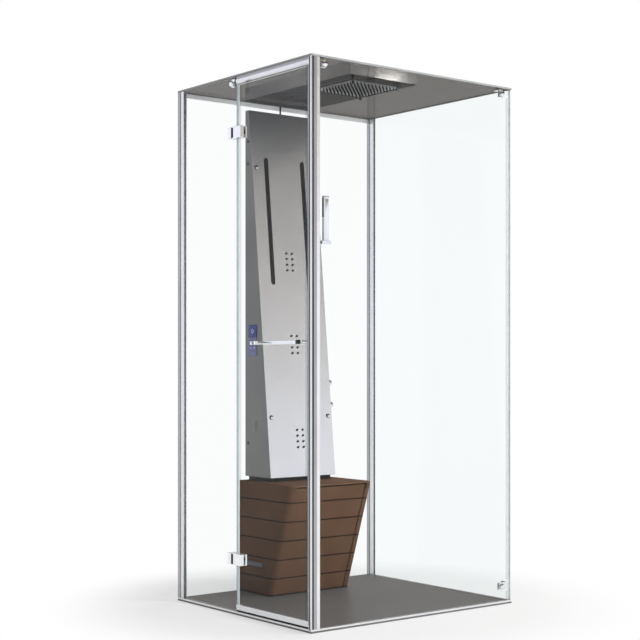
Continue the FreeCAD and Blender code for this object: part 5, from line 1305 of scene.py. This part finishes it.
@dataclass
class Seat:
    """Seat of composite boards with the steam outlet, and the steam generator inside it."""

    left: float = -226.0
    outlet_y: Pair = (278.0, 420.0)
    outlet_z: Pair = (133.0, 153.0)
    outlet_proud: float = 3.0
    gasket_low: Point = (-203.0, 86.0, 479.0)
    gasket_high: Point = (182.0, 90.0, 494.6)
    side_low: Point = (175.0, 241.5, 16.8)
    side_high: Point = (182.6, 245.5, 478.0)
    panel_slope: float = 0.3347

    def outlet(self) -> list[Surface]:
        """A slot-shaped flange, its ends half circles, and the sleeve behind it.

        Returns:
            The flange and the sleeve.
        """
        (near, far), (foot, top) = self.outlet_y, self.outlet_z
        flange = rounded_bar((self.left - self.outlet_proud, near, foot), (self.left, far, top), 0,
                             (top - foot) / 2 - 0.1, 1.2)
        sleeve = rounded_bar((self.left, near + 5, foot + 4), (self.left + 10, far - 5, top - 4), 0,
                             5.5, 0.3)
        return [flange, sleeve]

    def gasket(self) -> list[Surface]:
        """A level bar over the front panel, and a bar down its side.

        The side bar is made upright and leant: it comes forward by the panel's slope times the
        height above its foot. The black rubber fills the gap round the panel and partly stands in
        for the gap's shadow as painted shade.

        Returns:
            Both bars.
        """
        side = rounded_bar(self.side_low, self.side_high, 0, 1.2, 0.6)
        lean = np.outer(side.points[:, 2] - self.side_low[2], (0.0, -self.panel_slope, 0.0))
        return [rounded_bar(self.gasket_low, self.gasket_high, 0, 1.2, 0.6),
                Surface(side.points + lean, side.faces)]

    def build(self) -> None:
        """Make and dress the pieces."""
        soften("seat_body", COMPOSITE, 0.4)
        soften("seat_front_panel", COMPOSITE, 0.4)
        # Black rubber in the panel's gap, partly painted shade of the gap
        fit("front_panel_shade_gasket", self.gasket(), RUBBER)
        dress("seat_plinth", BLACK_PLASTIC)
        fit("steam_outlet_grille", self.outlet(), OUTLET_PLASTIC, ["steam_outlet"])
        for node in ("steam_boiler", "heating_element", "steam_pipe"):
            dress(node, STAINLESS)
        soften("control_box", GREY_PLASTIC, 2.0)


@dataclass
class Studio:
    """Pale floor, white surroundings, soft lamps and the camera."""

    camera_at: Point = (-3.757, -4.604, 1.031)
    camera_turn: float = -38.23
    lens: float = 77.77
    sensor: float = 36.0
    shift: float = 41.7 / 640
    light_from: Point = (0.55, -0.70, 0.45)
    card_at: Point = (-0.62, -0.78, 0.0)
    floor_size: float = 60.0
    floor_z: float = -0.001
    strip_width: float = 0.05
    cool_cloth: str = "#f6f6ff"
    warm_cloth: str = "#fff0de"
    floor_paint: str = "#f2f2f1"

    def tent(self, tree: Tree, looking: Socket) -> Socket:
        """What metal mirrors: bright at eye height, dim above, with a lit top and a dark card.

        Args:
            tree: The world's nodes.
            looking: The direction in which a ray leaves.

        Returns:
            The surroundings' shader for mirrored rays.
        """
        parts = add(tree, "SeparateXYZ", {0: looking})
        # At the left it stays bright higher up
        lift = add(tree, "MapRange", {
            "Value": parts.outputs["X"], "From Min": -0.6, "From Max": -0.1, "To Min": 0.26,
            "To Max": 0.0})
        height = add(tree, "Math", {0: parts.outputs["Z"], 1: lift.outputs[0]},
                     operation="SUBTRACT").outputs[0]
        wall = add(tree, "MapRange", {
            "Value": height, "From Min": 0.07, "From Max": 0.31, "To Min": 1.12, "To Max": 0.08})
        top = add(tree, "MapRange", {
            "Value": height, "From Min": 0.55, "From Max": 0.8, "To Min": 0.0, "To Max": 0.75})
        facing = add(tree, "VectorMath", {0: looking, 1: self.card_at}, operation="DOT_PRODUCT")
        card = add(tree, "MapRange", {
            "Value": facing.outputs["Value"], "From Min": 0.7, "From Max": 0.88, "To Min": 1.0,
            "To Max": 0.15})
        lit = add(tree, "Math", {0: wall.outputs[0], 1: top.outputs[0]}, operation="ADD")
        strength = add(tree, "Math", {0: lit.outputs[0], 1: card.outputs[0]},
                       operation="MULTIPLY")
        warmth = add(tree, "MapRange", {"Value": height, "From Min": 0.08, "From Max": 0.22})
        cloth = add(tree, "Mix", {
            0: warmth.outputs[0], 6: linear(self.cool_cloth), 7: linear(self.warm_cloth)},
            data_type="RGBA")
        return add(tree, "Background", {
            "Color": cloth.outputs[2], "Strength": strength.outputs[0]}).outputs[0]

    def world(self) -> None:
        """White for the eye, a wide soft light from the right front, and a tent for metal."""
        bpy.context.scene.world = bpy.data.worlds.new("studio")
        tree = emptied(bpy.context.scene.world)
        path = add(tree, "LightPath")
        looking = add(tree, "TexCoord").outputs["Generated"]
        # The wide light: brightest towards the right front and above, faint at the left and behind
        towards = add(tree, "VectorMath", {0: looking, 1: self.light_from},
                      operation="DOT_PRODUCT")
        wide = add(tree, "MapRange", {
            "Value": towards.outputs["Value"], "From Min": -0.25, "From Max": 1.0,
            "To Min": 0.03, "To Max": 1.5})
        lit = add(tree, "Background", {"Color": WHITE, "Strength": wide.outputs[0]})
        white = add(tree, "Background", {"Color": WHITE, "Strength": 1.0})
        seen = add(tree, "Math", {
            0: path.outputs["Is Camera Ray"], 1: path.outputs["Is Transmission Ray"]},
            operation="MAXIMUM")
        inner = add(tree, "MixShader", {
            0: path.outputs["Is Glossy Ray"], 1: lit.outputs[0], 2: self.tent(tree, looking)})
        outer = add(tree, "MixShader", {
            0: seen.outputs[0], 1: inner.outputs[0], 2: white.outputs[0]})
        add(tree, "OutputWorld", {"Surface": outer.outputs[0]})

    def floor(self) -> None:
        """A pale floor that keeps the shadow near the cabin and fades to white away from it."""
        half = self.floor_size / 2
        mesh = bpy.data.meshes.new("studio_floor")
        mesh.from_pydata([(half * x, half * y, self.floor_z)
                          for x, y in ((-1, -1), (1, -1), (1, 1), (-1, 1))], [], [(0, 1, 2, 3)])
        floor = stand("studio_floor", mesh)
        made = bpy.data.materials.new("pale_studio_floor")
        tree = emptied(made)
        coords = add(tree, "TexCoord")
        away = add(tree, "VectorMath", {0: coords.outputs["Object"]}, operation="LENGTH")
        fade = add(tree, "MapRange", {
            "Value": away.outputs["Value"], "From Min": 0.75, "From Max": 1.3, "To Min": 0.5},
            interpolation_type="SMOOTHSTEP")
        paint = add(tree, "BsdfDiffuse", {"Color": linear(self.floor_paint)})
        white = add(tree, "Emission", {"Color": WHITE, "Strength": 1.0})
        path = add(tree, "LightPath")
        eye = add(tree, "Math", {
            0: path.outputs["Is Camera Ray"], 1: path.outputs["Is Transmission Ray"]},
            operation="MAXIMUM")
        any_eye = add(tree, "Math", {0: eye.outputs[0], 1: path.outputs["Is Glossy Ray"]},
                      operation="MAXIMUM")
        share = add(tree, "Math", {0: any_eye.outputs[0], 1: fade.outputs[0]},
                    operation="MULTIPLY")
        mix = add(tree, "MixShader", {
            0: share.outputs[0], 1: paint.outputs[0], 2: white.outputs[0]})
        add(tree, "OutputMaterial", {"Surface": mix.outputs[0]})
        mesh.materials.append(made)

    def lamp(self, name: str, at: Point, aim: Point, size: Pair, power: float
             ) -> bpy.types.Object:
        """Hang a soft lamp.

        Args:
            name: The lamp's name.
            at: Where it hangs, in metres.
            aim: The point that it faces.
            size: Its width and height.
            power: Its power in watts.

        Returns:
            The lamp.
        """
        data = bpy.data.lights.new(name, "AREA")
        data.shape = "RECTANGLE"
        data.size, data.size_y = size
        data.energy = power
        lamp = stand(name, data)
        turn = np.eye(4)
        turn[:3] = np.stack((*cross_axes(np.subtract(at, aim)), at), axis=1)
        lamp.matrix_world = Matrix(turn.tolist())
        lamp.visible_glossy = False
        lamp.visible_camera = False
        return lamp

    def camera(self) -> None:
        """The camera at the photograph's angle: level, with its picture plane upright."""
        data = bpy.data.cameras.new("camera")
        data.lens = self.lens
        data.sensor_width = self.sensor
        data.shift_y = self.shift
        data.clip_end = 200.0
        camera = stand("camera", data)
        camera.location = self.camera_at
        camera.rotation_euler = (math.pi / 2, 0.0, math.radians(self.camera_turn))
        bpy.context.scene.camera = camera

    def build(self) -> None:
        """Set the studio up: a key lamp, and two strips for the rain box's front and left side."""
        bpy.context.scene.view_settings.view_transform = "Standard"
        self.world()
        self.floor()
        self.lamp("key_lamp", (3.2, -4.2, 3.0), (0.0, 0.0, 1.0), (2.4, 2.4), 125.0)
        strip = self.lamp("box_strip", (0.16, -0.44, 2.228), (0.04, -0.27, 2.22),
                          (self.strip_width, 0.048), 0.55)
        strip.visible_glossy = True
        self.lamp("box_side_strip", (-0.42, 0.06, 2.235), (-0.18, 0.06, 2.225),
                  (self.strip_width, 0.6), 2.0)
        self.camera()


def main() -> None:
    """Build the sub-assemblies in order."""
    logging.basicConfig(level=logging.INFO, format="%(message)s")
    for assembly in (Enclosure(), Door(), RainHead(), Column(), HandShower(), Seat(), Studio()):
        LOG.info("-- %s", type(assembly).__name__)
        assembly.build()


if __name__ == "__main__":
    main()
